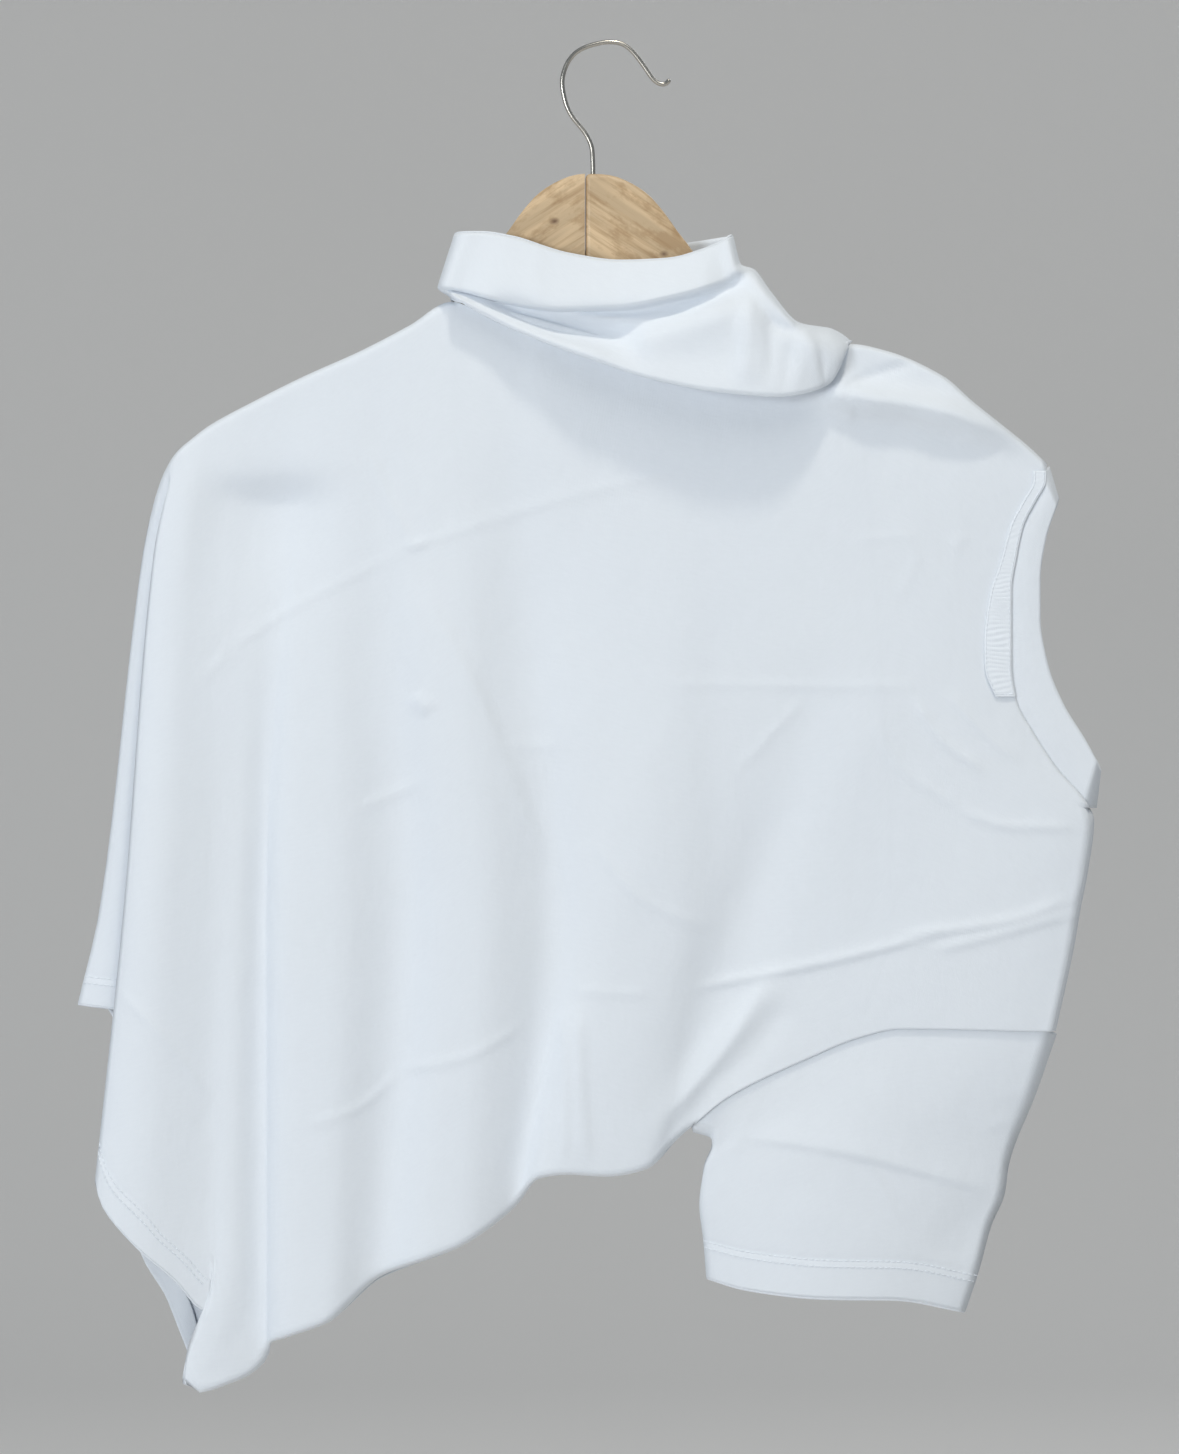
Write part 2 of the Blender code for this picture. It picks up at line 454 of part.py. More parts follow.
def sleeve_b_half(top, side):
    """One side of the lower sleeve: a patch between armhole, hem and the two folds."""
    s = shares_of(top[:, 0], top[:, 2])
    t = np.linspace(0, 1, SLEEVE_B_ROWS + 1) ** SLEEVE_B_CROWDING
    hem = np.stack(along(SLEEVE_B["hem_x"], SLEEVE_B["hem_z"], s), axis=-1)
    left = np.stack(along(SLEEVE_B["left_x"], SLEEVE_B["left_z"], t), axis=-1)
    right = np.stack(along(SLEEVE_B["right_x"], SLEEVE_B["right_z"], t), axis=-1)
    s3, t3 = s[:, None, None], t[None, :, None]
    armhole = top[:, (0, 2)]
    flat = ((1 - t3) * armhole[:, None] + t3 * hem[:, None]
            + (1 - s3) * left[None] + s3 * right[None]
            - (1 - s3) * (1 - t3) * armhole[0] - s3 * (1 - t3) * armhole[-1]
            - (1 - s3) * t3 * hem[0] - s3 * t3 * hem[-1])
    belly = np.clip(np.sin(math.pi * s ** 0.8), 0, 1) ** 0.6    # fullest left of the middle
    own = SLEEVE_B_DEPTH * belly[:, None] + np.zeros(len(t))
    if side < 0:
        ends = np.clip(np.sin(math.pi * s), 0, 1)[:, None] ** 0.3
        own = ends * (own + fold_relief(flat[..., 0], flat[..., 1], SLEEVE_B_FOLDS))
    settle = np.clip(t / SLEEVE_B_SETTLE, 0, 1)[None] ** 2
    depth = np.abs(top[:, 1])[:, None] * (1 - settle) + own * settle
    depth[0] = depth[-1] = 0
    return np.stack((flat[..., 0], side * depth, flat[..., 1]), axis=-1)


# ---------------------------------------------------------------- neckband and tape
def neck_rib(near, far):
    """Closed grid of the neckband: a ring of rib round the neck, three points wide."""
    halves = []
    for edge, name in ((near[-1], "near"), (far[-1], "far")):
        beside_neck = (edge[:, 2] > NECK_POINT_B) & (edge[:, 2] < RIGHT_EDGE["z"][0] - RIB_START)
        seam = np.vstack((RIB_A, beside(edge[beside_neck], EDGE_GAP), RIB_B))
        share = shares_of(seam[:, 0], seam[:, 2])
        x, z = along(RIB_EDGE[name + "_x"], RIB_EDGE[name + "_z"], share)
        edge = np.stack((x, seam[:, 1] * (1 + RIB_BOW) / 2, z), axis=-1)
        middle = (seam + edge) / 2
        middle[:, 1] *= RIB_BOW
        halves.append(np.stack((seam, middle, edge), axis=1))
    return np.vstack((halves[0], halves[1][-2:0:-1]))


def neck_tape(near):
    """Tape beside the neckband, made from the near panel's own points and moved out."""
    rows = (near[-1][:, 2] > TAPE_END_Z) & (near[-1][:, 2] < RIGHT_EDGE["z"][0] - TAPE_START)
    strip = near[-1 - TAPE_LINES:-1][:, rows].copy()
    strip[-1] = strip[-1] * (1 - TAPE_INSET) + strip[-2] * TAPE_INSET
    strip[..., 1] -= CLOTH / 2 + SEAM_GAP + TAPE / 2 + TAPE_LIFT
    return strip


# ---------------------------------------------------------------- objects
def fresh_scene():
    """Empty the scene and return the collections for the shirt and for the cutters."""
    for old in list(bpy.data.objects):
        bpy.data.objects.remove(old, do_unlink=True)
    made = []
    for name in ("t_shirt_on_hanger", "cutters"):
        collection = bpy.data.collections.new(name)
        bpy.context.scene.collection.children.link(collection)
        made.append(collection)
    return made


def material(name, colour, roughness, metallic=0.0):
    made = bpy.data.materials.new(name)
    made.use_nodes = True
    surface = made.node_tree.nodes["Principled BSDF"]
    surface.inputs["Base Color"].default_value = colour
    surface.inputs["Roughness"].default_value = roughness
    surface.inputs["Metallic"].default_value = metallic
    return made


def cloth(name, grid, wall, finish, collection, closed=False):
    """A cloth piece: the surface of a grid [column, row], given its wall by Solidify."""
    columns, rows = grid.shape[:2]
    surface = bmesh.new()
    points = [[surface.verts.new(point * MM) for point in column] for column in grid]
    last = columns if closed else columns - 1
    for c in range(last):
        here, there = points[c], points[(c + 1) % columns]
        for r in range(rows - 1):
            surface.faces.new((here[r], here[r + 1], there[r + 1], there[r]))
    mesh = bpy.data.meshes.new(name)
    surface.to_mesh(mesh)
    surface.free()
    mesh.shade_smooth()
    piece = bpy.data.objects.new(name, mesh)
    collection.objects.link(piece)
    mesh.materials.append(finish)
    solid = piece.modifiers.new("wall", "SOLIDIFY")
    solid.thickness = wall * MM
    solid.offset = 0.0
    solid.use_even_offset = True
    solid.use_quality_normals = True
    return piece


def plate(name, outline, finish, collection):
    """A wooden plate with eased edges: a filled 2D outline, extruded and stood in the XZ plane."""
    curve = bpy.data.curves.new(name, "CURVE")
    curve.dimensions = "2D"
    curve.fill_mode = "BOTH"
    curve.extrude = ARM_THICKNESS / 2 * MM
    spline = curve.splines.new("POLY")
    spline.use_cyclic_u = True
    spline.points.add(len(outline) - 1)
    for point, (x, z) in zip(spline.points, outline):
        point.co = (x * MM, z * MM, 0, 1)
    drawn = bpy.data.objects.new(name + "_outline", curve)
    collection.objects.link(drawn)
    bpy.context.view_layer.update()
    mesh = bpy.data.meshes.new_from_object(drawn.evaluated_get(bpy.context.evaluated_depsgraph_get()))
    bpy.data.objects.remove(drawn, do_unlink=True)

    body = bmesh.new()
    body.from_mesh(mesh)
    bmesh.ops.remove_doubles(body, verts=body.verts, dist=WELD * MM)
    bmesh.ops.dissolve_limit(body, angle_limit=math.radians(1), verts=body.verts, edges=body.edges)
    bmesh.ops.rotate(body, verts=body.verts, matrix=Matrix.Rotation(math.radians(90), 3, "X"))
    body.to_mesh(mesh)
    body.free()
    mesh.name = name
    mesh.materials.clear()
    mesh.materials.append(finish)
    piece = bpy.data.objects.new(name, mesh)
    collection.objects.link(piece)
    eased = piece.modifiers.new("eased edges", "BEVEL")
    eased.width = ARM_EASING * MM
    eased.segments = 2
    eased.limit_method = "ANGLE"
    eased.angle_limit = math.radians(50)
    return piece


def arm_outline(side):
    """Outline of one wooden half: side is -1 for the left and +1 for the right one."""
    def place(points):
        return [(CENTRE_X + side * out, z) for out, z in points]

    start = JOINT_X + side * HOLE_CLEARANCE / 2
    inner = abs(start - CENTRE_X) if side < 0 else 0
    top = [point for point in place(ARM_TOP) if abs(point[0] - CENTRE_X) > inner]
    bottom = [point for point in place(ARM_BOTTOM) if abs(point[0] - CENTRE_X) > inner]
    return [(start, ARM_TOP[0][1] - 0.3)] + top + bottom + [(start, ARM_BOTTOM[-1][1] - 0.3)]


def hanger(collection, cutters):
    """Two wooden halves and the steel hook, whose shank sits in the right half."""
    wood = material("pale_wood", PALE_WOOD, 0.55)
    steel = material("bright_steel", STEEL, 0.3, 1.0)
    plate("hanger_left_arm", arm_outline(-1), wood, collection)
    right = plate("hanger_right_arm", arm_outline(1), wood, collection)

    bottom = ARM_TOP[0][1] - SHANK_DEPTH
    depth = SHANK_DEPTH + 4 * WIRE
    bpy.ops.mesh.primitive_cylinder_add(
        vertices=DRILL_SIDES, radius=(WIRE / 2 + HOLE_CLEARANCE) * MM, depth=depth * MM,
        location=(CENTRE_X * MM, 0, (bottom - HOLE_CLEARANCE + depth / 2) * MM))
    drill = bpy.context.object
    drill.name = "shank_hole"
    drill.hide_render = True
    drill.display_type = "WIRE"
    for holder in list(drill.users_collection):
        holder.objects.unlink(drill)
    cutters.objects.link(drill)
    cut = right.modifiers.new("shank hole", "BOOLEAN")
    cut.operation = "DIFFERENCE"
    cut.solver = "EXACT"
    cut.object = drill

    route = ((CENTRE_X, bottom), (CENTRE_X, bottom / 2 + HOOK_ROUTE[0][1] / 2)) + HOOK_ROUTE
    xs, zs = [p[0] for p in route], [p[1] for p in route]
    x, z = along(xs, zs, np.linspace(0, 1, HOOK_POINTS))
    curve = bpy.data.curves.new("hanger_hook", "CURVE")
    curve.dimensions = "3D"
    curve.bevel_depth = WIRE / 2 * MM
    curve.bevel_resolution = 2
    curve.use_fill_caps = True
    spline = curve.splines.new("POLY")
    spline.points.add(HOOK_POINTS - 1)
    for point, px, pz in zip(spline.points, x, z):
        point.co = (px * MM, 0, pz * MM, 1)
    curve.materials.append(steel)
    collection.objects.link(bpy.data.objects.new("hanger_hook", curve))


def shirt(collection):
    jersey = material("white_jersey", WHITE_JERSEY, 0.9)
    rib = material("white_rib", WHITE_RIB, 0.9)
    near, near_top = near_panel()
    far, far_top = far_panel()
    cloth("back_panel", near, CLOTH, jersey, collection)
    cloth("front_panel", far, CLOTH, jersey, collection)
    upper = upper_sleeve(near, near_top, far, far_top)
    cloth("upper_sleeve", upper, CLOTH, jersey, collection, closed=True)
    cloth("lower_sleeve", lower_sleeve(near, far), CLOTH, jersey, collection, closed=True)
    cloth("neck_rib", neck_rib(near, far), RIB, rib, collection, closed=True)
    cloth("neck_tape", neck_tape(near), TAPE, rib, collection)


def main():
    collection, cutters = fresh_scene()
    shirt(collection)
    hanger(collection, cutters)


main()
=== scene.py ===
# %% [markdown]
# # A plain T-shirt that hangs by one sleeve
#
# A wooden hanger has gone into the shirt sideways: its hook comes out of a sleeve, so the neck is
# at the right, the other sleeve hangs at the bottom and the body's hem is at the lower left. The
# near side is the back of the shirt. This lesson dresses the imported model, cloth by cloth.

# %% Load the frame
import math

import bpy
import numpy as np
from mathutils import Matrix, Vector


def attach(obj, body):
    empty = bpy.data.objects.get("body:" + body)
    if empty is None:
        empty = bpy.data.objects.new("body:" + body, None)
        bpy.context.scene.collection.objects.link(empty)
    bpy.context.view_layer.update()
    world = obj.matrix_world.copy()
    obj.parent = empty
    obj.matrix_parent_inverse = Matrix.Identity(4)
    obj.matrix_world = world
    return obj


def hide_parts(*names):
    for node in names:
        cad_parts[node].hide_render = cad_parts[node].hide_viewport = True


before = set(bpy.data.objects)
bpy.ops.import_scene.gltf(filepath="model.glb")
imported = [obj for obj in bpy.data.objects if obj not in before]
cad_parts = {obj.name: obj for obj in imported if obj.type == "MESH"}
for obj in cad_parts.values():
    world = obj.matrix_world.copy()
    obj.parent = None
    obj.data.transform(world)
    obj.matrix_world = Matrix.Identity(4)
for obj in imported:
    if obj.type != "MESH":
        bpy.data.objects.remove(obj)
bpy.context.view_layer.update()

# %% [markdown]
# ## Helpers
#
# Cloth that hangs in folds is easiest to build as a grid: hanging lines side by side, each with
# many points. A few listed lines are enough, because a smooth curve through them fills in the
# rest. The curve used here never overshoots, so a flat stretch stays flat.

# %% Curves and distances
MM = 0.001              # the tables of shapes are in millimetres, and Blender works in metres


def smooth(knots, values, at):
    """A smooth curve through (knots, values) that never overshoots, read at the places at."""
    knots = np.asarray(knots, float)
    values = np.asarray(values, float)
    at = np.clip(np.asarray(at, float), knots[0], knots[-1])
    step = np.diff(knots)
    slope = np.diff(values) / step
    tangent = np.empty_like(values)
    tangent[0], tangent[-1] = slope[0], slope[-1]
    before, after = slope[:-1], slope[1:]
    turning = before * after <= 0
    total = np.where(turning, 1.0, before + after)
    tangent[1:-1] = np.where(turning, 0.0, 2 * before * after / total)
    index = np.clip(np.searchsorted(knots, at, side="right") - 1, 0, len(step) - 1)
    width = step[index]
    t = (at - knots[index]) / width
    return (values[index] * (1 + 2 * t) * (1 - t) ** 2 + tangent[index] * width * t * (1 - t) ** 2
            + values[index + 1] * t * t * (3 - 2 * t)
            + tangent[index + 1] * width * t * t * (t - 1))


def lengths(points):
    """How far along its own length each point of a line lies."""
    steps = np.linalg.norm(np.diff(points, axis=0), axis=1)
    return np.concatenate(([0.0], np.cumsum(steps)))


def along(points, shares):
    """Points at shares (0 to 1) of the length of a smooth curve through points."""
    points = np.asarray(points, float)
    far = lengths(points)
    return np.stack([smooth(far, axis, np.asarray(shares) * far[-1]) for axis in points.T], axis=-1)


def nearest(x, z, path):
    """Distance to a path in the XZ plane, the side it lies on, and the share along the path."""
    best = np.full(np.shape(x), 1e9)
    side = np.ones(np.shape(x))
    share = np.zeros(np.shape(x))
    far = lengths(np.asarray(path))
    for i in range(len(path) - 1):
        (ax, az), (bx, bz) = path[i], path[i + 1]
        dx, dz = bx - ax, bz - az
        t = np.clip(((x - ax) * dx + (z - az) * dz) / max(dx * dx + dz * dz, 1e-9), 0, 1)
        away = np.hypot(x - ax - t * dx, z - az - t * dz)
        closer = away < best
        best = np.where(closer, away, best)
        side = np.where(closer, np.sign(dx * (z - az) - dz * (x - ax)), side)
        share = np.where(closer, (far[i] + t * (far[i + 1] - far[i])) / far[-1], share)
    return best, side, share


def ease(t):
    """A soft step from 0 to 1."""
    t = np.clip(t, 0, 1)
    return t * t * (3 - 2 * t)


def rounding(away, radius):
    """0 at a seam and 1 from radius away on: the quarter circle with which cloth turns over."""
    return np.sqrt(1 - (1 - np.clip(away / radius, 0, 1)) ** 2)


def soften(values, rounds):
    """The values of a grid, evened out with their neighbours; the grid's rim stays."""
    values = values.copy()
    for _ in range(rounds):
        values[1:-1] = (values[:-2] + 2 * values[1:-1] + values[2:]) / 4
        values[:, 1:-1] = (values[:, :-2] + 2 * values[:, 1:-1] + values[:, 2:]) / 4
    return values


# %% [markdown]
# A crease is a soft ridge or trough along a bent line. Its two sides rarely have the same slope:
# a pressed crease has one steep side, a hanging fold has two soft ones. So each row of a crease
# table gives three points of the line, its height, the width of its left and right side, and how
# round its crest is.

# %% Creases
CREASE = ("x0", "z0", "x1", "z1", "x2", "z2", "height", "left", "right", "crest")
CREASE_END = 0.22       # share of a crease's length over which it fades out
ROLL_END = 0.46         # and a broad roll of cloth
CREASE_STEPS = 14       # straight steps to one crease


def creases(x, z, table, end=CREASE_END):
    """How far the creases lift the cloth at each point. crest 1 is a sharp line, 2 a round one."""
    lift = np.zeros(np.shape(x))
    for row in table:
        c = dict(zip(CREASE, row))
        points = ((c["x0"], c["z0"]), (c["x1"], c["z1"]), (c["x2"], c["z2"]))
        path = along(points, np.linspace(0, 1, CREASE_STEPS))
        away, side, share = nearest(x, z, path)
        width = np.where(side > 0, c["left"], c["right"])
        fade = ease(share / end) * ease((1 - share) / end)
        lift += c["height"] * fade * np.exp(-(away / width) ** c["crest"])
    return lift


# %% [markdown]
# Cloth could be drawn as a solid with two faces, but its wall is so thin that they would cross in
# a tight fold. It is safer to build one surface and to let Solidify give it its thickness. The
# flat UV map is laid out in real metres along the cloth, so that the knit has the same size on
# every piece.

# %% Turn a grid of points into cloth
JERSEY_WALL = 0.9       # thickness of the knitted jersey
RIB_WALL = 1.4          # thickness of the doubled ribbed neckband


def surface_of(name, grid, material, closed=False):
    """The surface of a grid [column, row] of points, with its own flat UV map in metres."""
    columns, rows = grid.shape[:2]
    number = np.arange(columns * rows).reshape(columns, rows)
    here = number if closed else number[:-1]
    there = np.roll(number, -1, axis=0) if closed else number[1:]
    quads = np.stack((here[:, :-1], here[:, 1:], there[:, 1:], there[:, :-1]), axis=-1).reshape(-1, 4)
    mesh = bpy.data.meshes.new(name)
    mesh.from_pydata((grid.reshape(-1, 3) * MM).tolist(), [], quads.tolist())

    across = lengths(grid[:, rows // 2])
    down = np.concatenate((np.zeros((columns, 1)),
                           np.cumsum(np.linalg.norm(np.diff(grid, axis=1), axis=2), axis=1)), axis=1)
    flat = np.stack((np.repeat(across[:, None], rows, axis=1), down), axis=-1).reshape(-1, 2) * MM
    corner = np.empty(len(mesh.loops), int)
    mesh.loops.foreach_get("vertex_index", corner)
    mesh.uv_layers.new(name="UVMap").data.foreach_set("uv", flat[corner].ravel())

    piece = bpy.data.objects.new(name, mesh)
    bpy.context.scene.collection.objects.link(piece)
    mesh.materials.append(material)
    return piece


def only(piece):
    """Select one object alone and make it active, so that an operator acts on it and no other."""
    bpy.ops.object.select_all(action="DESELECT")
    piece.select_set(True)
    bpy.context.view_layer.objects.active = piece


def apply_modifier(piece, kind, **settings):
    """Add a modifier with its settings and apply it."""
    made = piece.modifiers.new(kind.lower(), kind)
    for key, value in settings.items():
        setattr(made, key, value)
    only(piece)
    bpy.ops.object.modifier_apply(modifier=made.name)


def cloth(name, grid, wall, material, closed=False):
    """A sheet of cloth from a grid of points: its surface, then its wall with Solidify."""
    piece = surface_of(name, grid, material, closed)
    apply_modifier(piece, "SOLIDIFY", thickness=wall * MM, offset=0.0)
    piece.data.shade_smooth()
    print(name, len(piece.data.polygons), "faces")
    return piece


# %% [markdown]
# ## The studio
#
# The photograph was taken level and from far away, so a long lens stands well in front. One small
# lamp high up and a little to the right gives the folds their shade and the swag its shadow. A
# window's light from the left and a wide one from above soften it, a fourth lamp lights the far side,
# and a pale sky all round keeps a white shirt from going dark.

# %% Camera, light and backdrop
FRAME_HEIGHT = 0.7415   # metres that the picture's height covers at the shirt
VIEW_CENTRE = Vector((-0.0054, 0.0, -0.3473))
CAMERA_DISTANCE = 3.4   # metres from the camera to the shirt
SENSOR = 36.0
WALL_BEHIND = 5.2       # the backdrop stands this far behind the shirt, so a view from the back is clear
FLOOR_DROP = 1.05       # and the floor lies this far below the hook
WALL_TOP = 5.0          # height of the backdrop above the hook
SWEEP = 1.5             # radius between floor and backdrop
SWEEP_STEPS = 13
FLOOR_REACH = 8.0       # to each side and to the front
LAMPS = (               # name, place, size, power and colour
    ("key light", (0.42, -1.38, 3.65), 0.34, 60.0, (1.0, 0.93, 0.80)),
    ("window light", (-2.3, -3.4, -0.1), 1.2, 62.0, (0.93, 0.965, 1.0)),
    ("ceiling light", (0.5, -2.4, 3.0), 2.6, 40.0, (1.0, 0.985, 0.96)),
    ("back light", (1.6, 3.0, 1.9), 1.6, 18.0, (0.97, 0.985, 1.0)),
)
SKY_COLOUR = (0.83, 0.925, 1.0)
SKY_STRENGTH = 0.285


def studio():
    """The camera, the lamps and the pale sky."""
    camera = bpy.data.objects.new("camera", bpy.data.cameras.new("camera"))
    camera.data.sensor_width = SENSOR
    camera.data.lens = SENSOR * CAMERA_DISTANCE / FRAME_HEIGHT
    camera.location = VIEW_CENTRE + Vector((0, -CAMERA_DISTANCE, 0))
    camera.rotation_euler = (math.radians(90), 0, 0)
    bpy.context.scene.collection.objects.link(camera)
    bpy.context.scene.camera = camera

    for name, place, size, power, colour in LAMPS:
        lamp(name, Vector(place), size, power, colour)

    world = bpy.data.worlds.new("pale surroundings")
    world.use_nodes = True
    sky = world.node_tree.nodes["Background"]
    sky.inputs["Color"].default_value = (*SKY_COLOUR, 1.0)
    sky.inputs["Strength"].default_value = SKY_STRENGTH
    bpy.context.scene.world = world
    bpy.context.scene.view_settings.view_transform = "Standard"


def lamp(name, place, size, power, colour):
    """A square lamp that looks at the shirt."""
    light = bpy.data.lights.new(name, "AREA")
    light.size = size
    light.energy = power
    light.color = colour
    stand = bpy.data.objects.new(name, light)
    stand.location = place
    stand.rotation_euler = (VIEW_CENTRE - place).to_track_quat("-Z", "Y").to_euler()
    bpy.context.scene.collection.objects.link(stand)


def backdrop(material):
    """Floor and backdrop in one sheet, swept up behind the shirt."""
    turn = [(WALL_BEHIND - SWEEP + SWEEP * math.sin(a), -FLOOR_DROP + SWEEP - SWEEP * math.cos(a))
            for a in np.radians(np.linspace(0, 90, SWEEP_STEPS))]
    profile = [(-FLOOR_REACH, -FLOOR_DROP)] + turn + [(WALL_BEHIND, WALL_TOP)]
    verts = [(x, y, z) for x in (-FLOOR_REACH, FLOOR_REACH) for y, z in profile]
    n = len(profile)
    faces = [(i, i + 1, n + i + 1, n + i) for i in range(n - 1)]
    mesh = bpy.data.meshes.new("backdrop")
    mesh.from_pydata(verts, [], faces)
    mesh.shade_smooth()
    mesh.materials.append(material)
    sweep = bpy.data.objects.new("backdrop", mesh)
    bpy.context.scene.collection.objects.link(sweep)


# %% [markdown]
# ## Finishes
#
# Every finish is one Principled surface, with a few nodes of noise for its colour and its bump.
# Painted images would be another way, but a finish that is worked out has no seams and stays sharp
# from near. These helpers keep each finish down to a few lines.

# %% Material helpers
MIX_INPUTS = {"share": 0, "first": 6, "second": 7}      # sockets of a Mix node that mixes colours
MIX_RESULT = 2


def finish(name, colour, roughness, **sockets):
    """A new material with a Principled surface. Returns the material, its tree and its surface."""
    made = bpy.data.materials.new(name)
    made.use_nodes = True
    surface = made.node_tree.nodes["Principled BSDF"]
    surface.inputs["Base Color"].default_value = (*colour, 1.0)
    surface.inputs["Roughness"].default_value = roughness
    for socket, value in sockets.items():
        surface.inputs[socket.replace("_", " ")].default_value = value
    return made, made.node_tree, surface


def node(tree, kind, inputs=None, **settings):
    """A node with its settings, and with its inputs set to a value or linked to another output."""
    made = tree.nodes.new(kind)
    for key, value in settings.items():
        setattr(made, key, value)
    for key, value in (inputs or {}).items():
        if isinstance(value, bpy.types.NodeSocket):
            tree.links.new(value, made.inputs[key])
        else:
            made.inputs[key].default_value = value
    return made


def maths(tree, operation, first, second=0.0):
    """One step of arithmetic on a value, or on two."""
    return node(tree, "ShaderNodeMath", {0: first, 1: second}, operation=operation).outputs[0]


def mix(tree, share, first, second, blend="MIX"):
    """Two colours mixed by a share."""
    made = node(tree, "ShaderNodeMix", data_type="RGBA", blend_type=blend)
    for key, value in (("share", share), ("first", first), ("second", second)):
        socket = made.inputs[MIX_INPUTS[key]]
        if isinstance(value, bpy.types.NodeSocket):
            tree.links.new(value, socket)
        else:
            socket.default_value = value if key == "share" else (*value, 1.0)
    return made.outputs[MIX_RESULT]


def noise(tree, vector, scale, detail=2.0, rough=0.5, stretch=(1, 1, 1), turn=(0, 0, 0)):
    """Noise on a vector that is first turned and then stretched."""
    turned = node(tree, "ShaderNodeMapping", {"Vector": vector, "Rotation": turn})
    place = node(tree, "ShaderNodeMapping", {"Vector": turned.outputs[0], "Scale": stretch})
    return node(tree, "ShaderNodeTexNoise", {"Vector": place.outputs[0], "Scale": scale,
                                             "Detail": detail, "Roughness": rough}).outputs["Fac"]


def bump(tree, height, distance, strength=1.0, before=None):
    """The normal that a height gives, on top of an earlier bump if there is one."""
    inputs = {"Height": height, "Distance": distance, "Strength": strength}
    if before is not None:
        inputs["Normal"] = before
    return node(tree, "ShaderNodeBump", inputs).outputs["Normal"]


# %% [markdown]
# Cotton jersey is a fine knit: columns of tiny V-shaped loops, about 14 to the centimetre. From a
# step away it only shows as a slight unevenness, so the knit is a very shallow bump on the flat UV
# map of each piece, with broader, softer marks where the cloth was pressed and handled.

# %% Jersey, rib and sewing thread
SHIRT_WHITE = (0.77, 0.818, 0.88)
RIB_WHITE = SHIRT_WHITE
TAPE_WHITE = (0.82, 0.87, 0.935)
THREAD_WHITE = (0.80, 0.85, 0.91)
WALE = 0.0007           # width of one column of loops, in metres
COURSE = 0.0006         # height of one row of loops
RIB_PITCH = 0.0013      # from one rib of the neckband to the next
RELIEF = {              # height of each bump in metres, and its strength
    "knit": (0.00004, 0.3),
    "yarn": (0.0001, 0.5),
    "marks": (0.002, 0.6),
    "ribs": (0.0001, 0.12),
}
YARN_SCALE = 700.0      # unevenness of the yarn
MARKS_SCALE = 34.0      # and of the marks of pressing and handling
CLOUD_SCALE = 9.0       # broad patches that are a little warmer
LOOP_SHARE = 0.6        # height of a loop against that of the groove beside it


def knit(tree, place):
    """Height of the knit's loops: V shapes in upright columns, from the cloth's flat map."""
    flat = node(tree, "ShaderNodeSeparateXYZ", {0: place.outputs["UV"]})
    u = maths(tree, "MULTIPLY", flat.outputs["X"], 1 / WALE)
    v = maths(tree, "MULTIPLY", flat.outputs["Y"], 1 / COURSE)
    lean = maths(tree, "ABSOLUTE", maths(tree, "SUBTRACT", maths(tree, "FRACT", u), 0.5))
    rows = maths(tree, "MULTIPLY", maths(tree, "ADD", v, lean), 2 * math.pi)
    groove = maths(tree, "COSINE", maths(tree, "MULTIPLY", u, 2 * math.pi))
    loops = maths(tree, "MULTIPLY", maths(tree, "SINE", rows), LOOP_SHARE)
    return maths(tree, "SUBTRACT", loops, groove)


def cotton(name, colour, ribbed=False):
    """White cotton: its knit, its slightly uneven yarn and the soft marks of handling."""
    made, tree, surface = finish(name, colour, 0.92, Sheen_Weight=0.12, Sheen_Roughness=0.5,
                                 Specular_IOR_Level=0.25)
    place = node(tree, "ShaderNodeTexCoord")
    normal = bump(tree, knit(tree, place), *RELIEF["knit"])
    yarn = noise(tree, place.outputs["UV"], YARN_SCALE, 2.0, stretch=(0.25, 1, 1))
    normal = bump(tree, yarn, *RELIEF["yarn"], normal)
    marks = noise(tree, place.outputs["Object"], MARKS_SCALE, 5.0, 0.55, stretch=(1, 1, 0.6))
    normal = bump(tree, marks, *RELIEF["marks"], normal)
    if ribbed:
        flat = node(tree, "ShaderNodeSeparateXYZ", {0: place.outputs["UV"]})
        wave = maths(tree, "COSINE", maths(tree, "MULTIPLY", flat.outputs["X"], 2 * math.pi / RIB_PITCH))
        normal = bump(tree, wave, *RELIEF["ribs"], normal)
    tree.links.new(normal, surface.inputs["Normal"])

    cloudy = noise(tree, place.outputs["Object"], CLOUD_SCALE, 3.0)
    tone = mix(tree, cloudy, colour, tuple(c * f for c, f in zip(colour, (1.0, 0.995, 0.98))))
    mottle = mix(tree, yarn, (0.965, 0.965, 0.97), (1.0, 1.0, 1.0))
    tree.links.new(mix(tree, 1.0, tone, mottle, "MULTIPLY"), surface.inputs["Base Color"])
    return made


def sewing_thread():
    """White polyester thread: a fine twist along each stitch."""
    made, tree, surface = finish("sewing_thread", THREAD_WHITE, 0.6, Sheen_Weight=0.2)
    place = node(tree, "ShaderNodeTexCoord")
    twist = noise(tree, place.outputs["Object"], 2600.0, 1.0, stretch=(1, 1, 0.4))
    tree.links.new(bump(tree, twist, 0.0001, 0.6), surface.inputs["Normal"])
    tree.links.new(mix(tree, twist, tuple(0.94 * c for c in THREAD_WHITE), THREAD_WHITE),
                   surface.inputs["Base Color"])
    return made


# %% [markdown]
# Beech and mango wood for cheap hangers is pale, with brown grain lines, darker blotches and a
# knot here and there. Each half was sawn with its grain along the arm, so the two halves meet in
# a chevron at the joint.

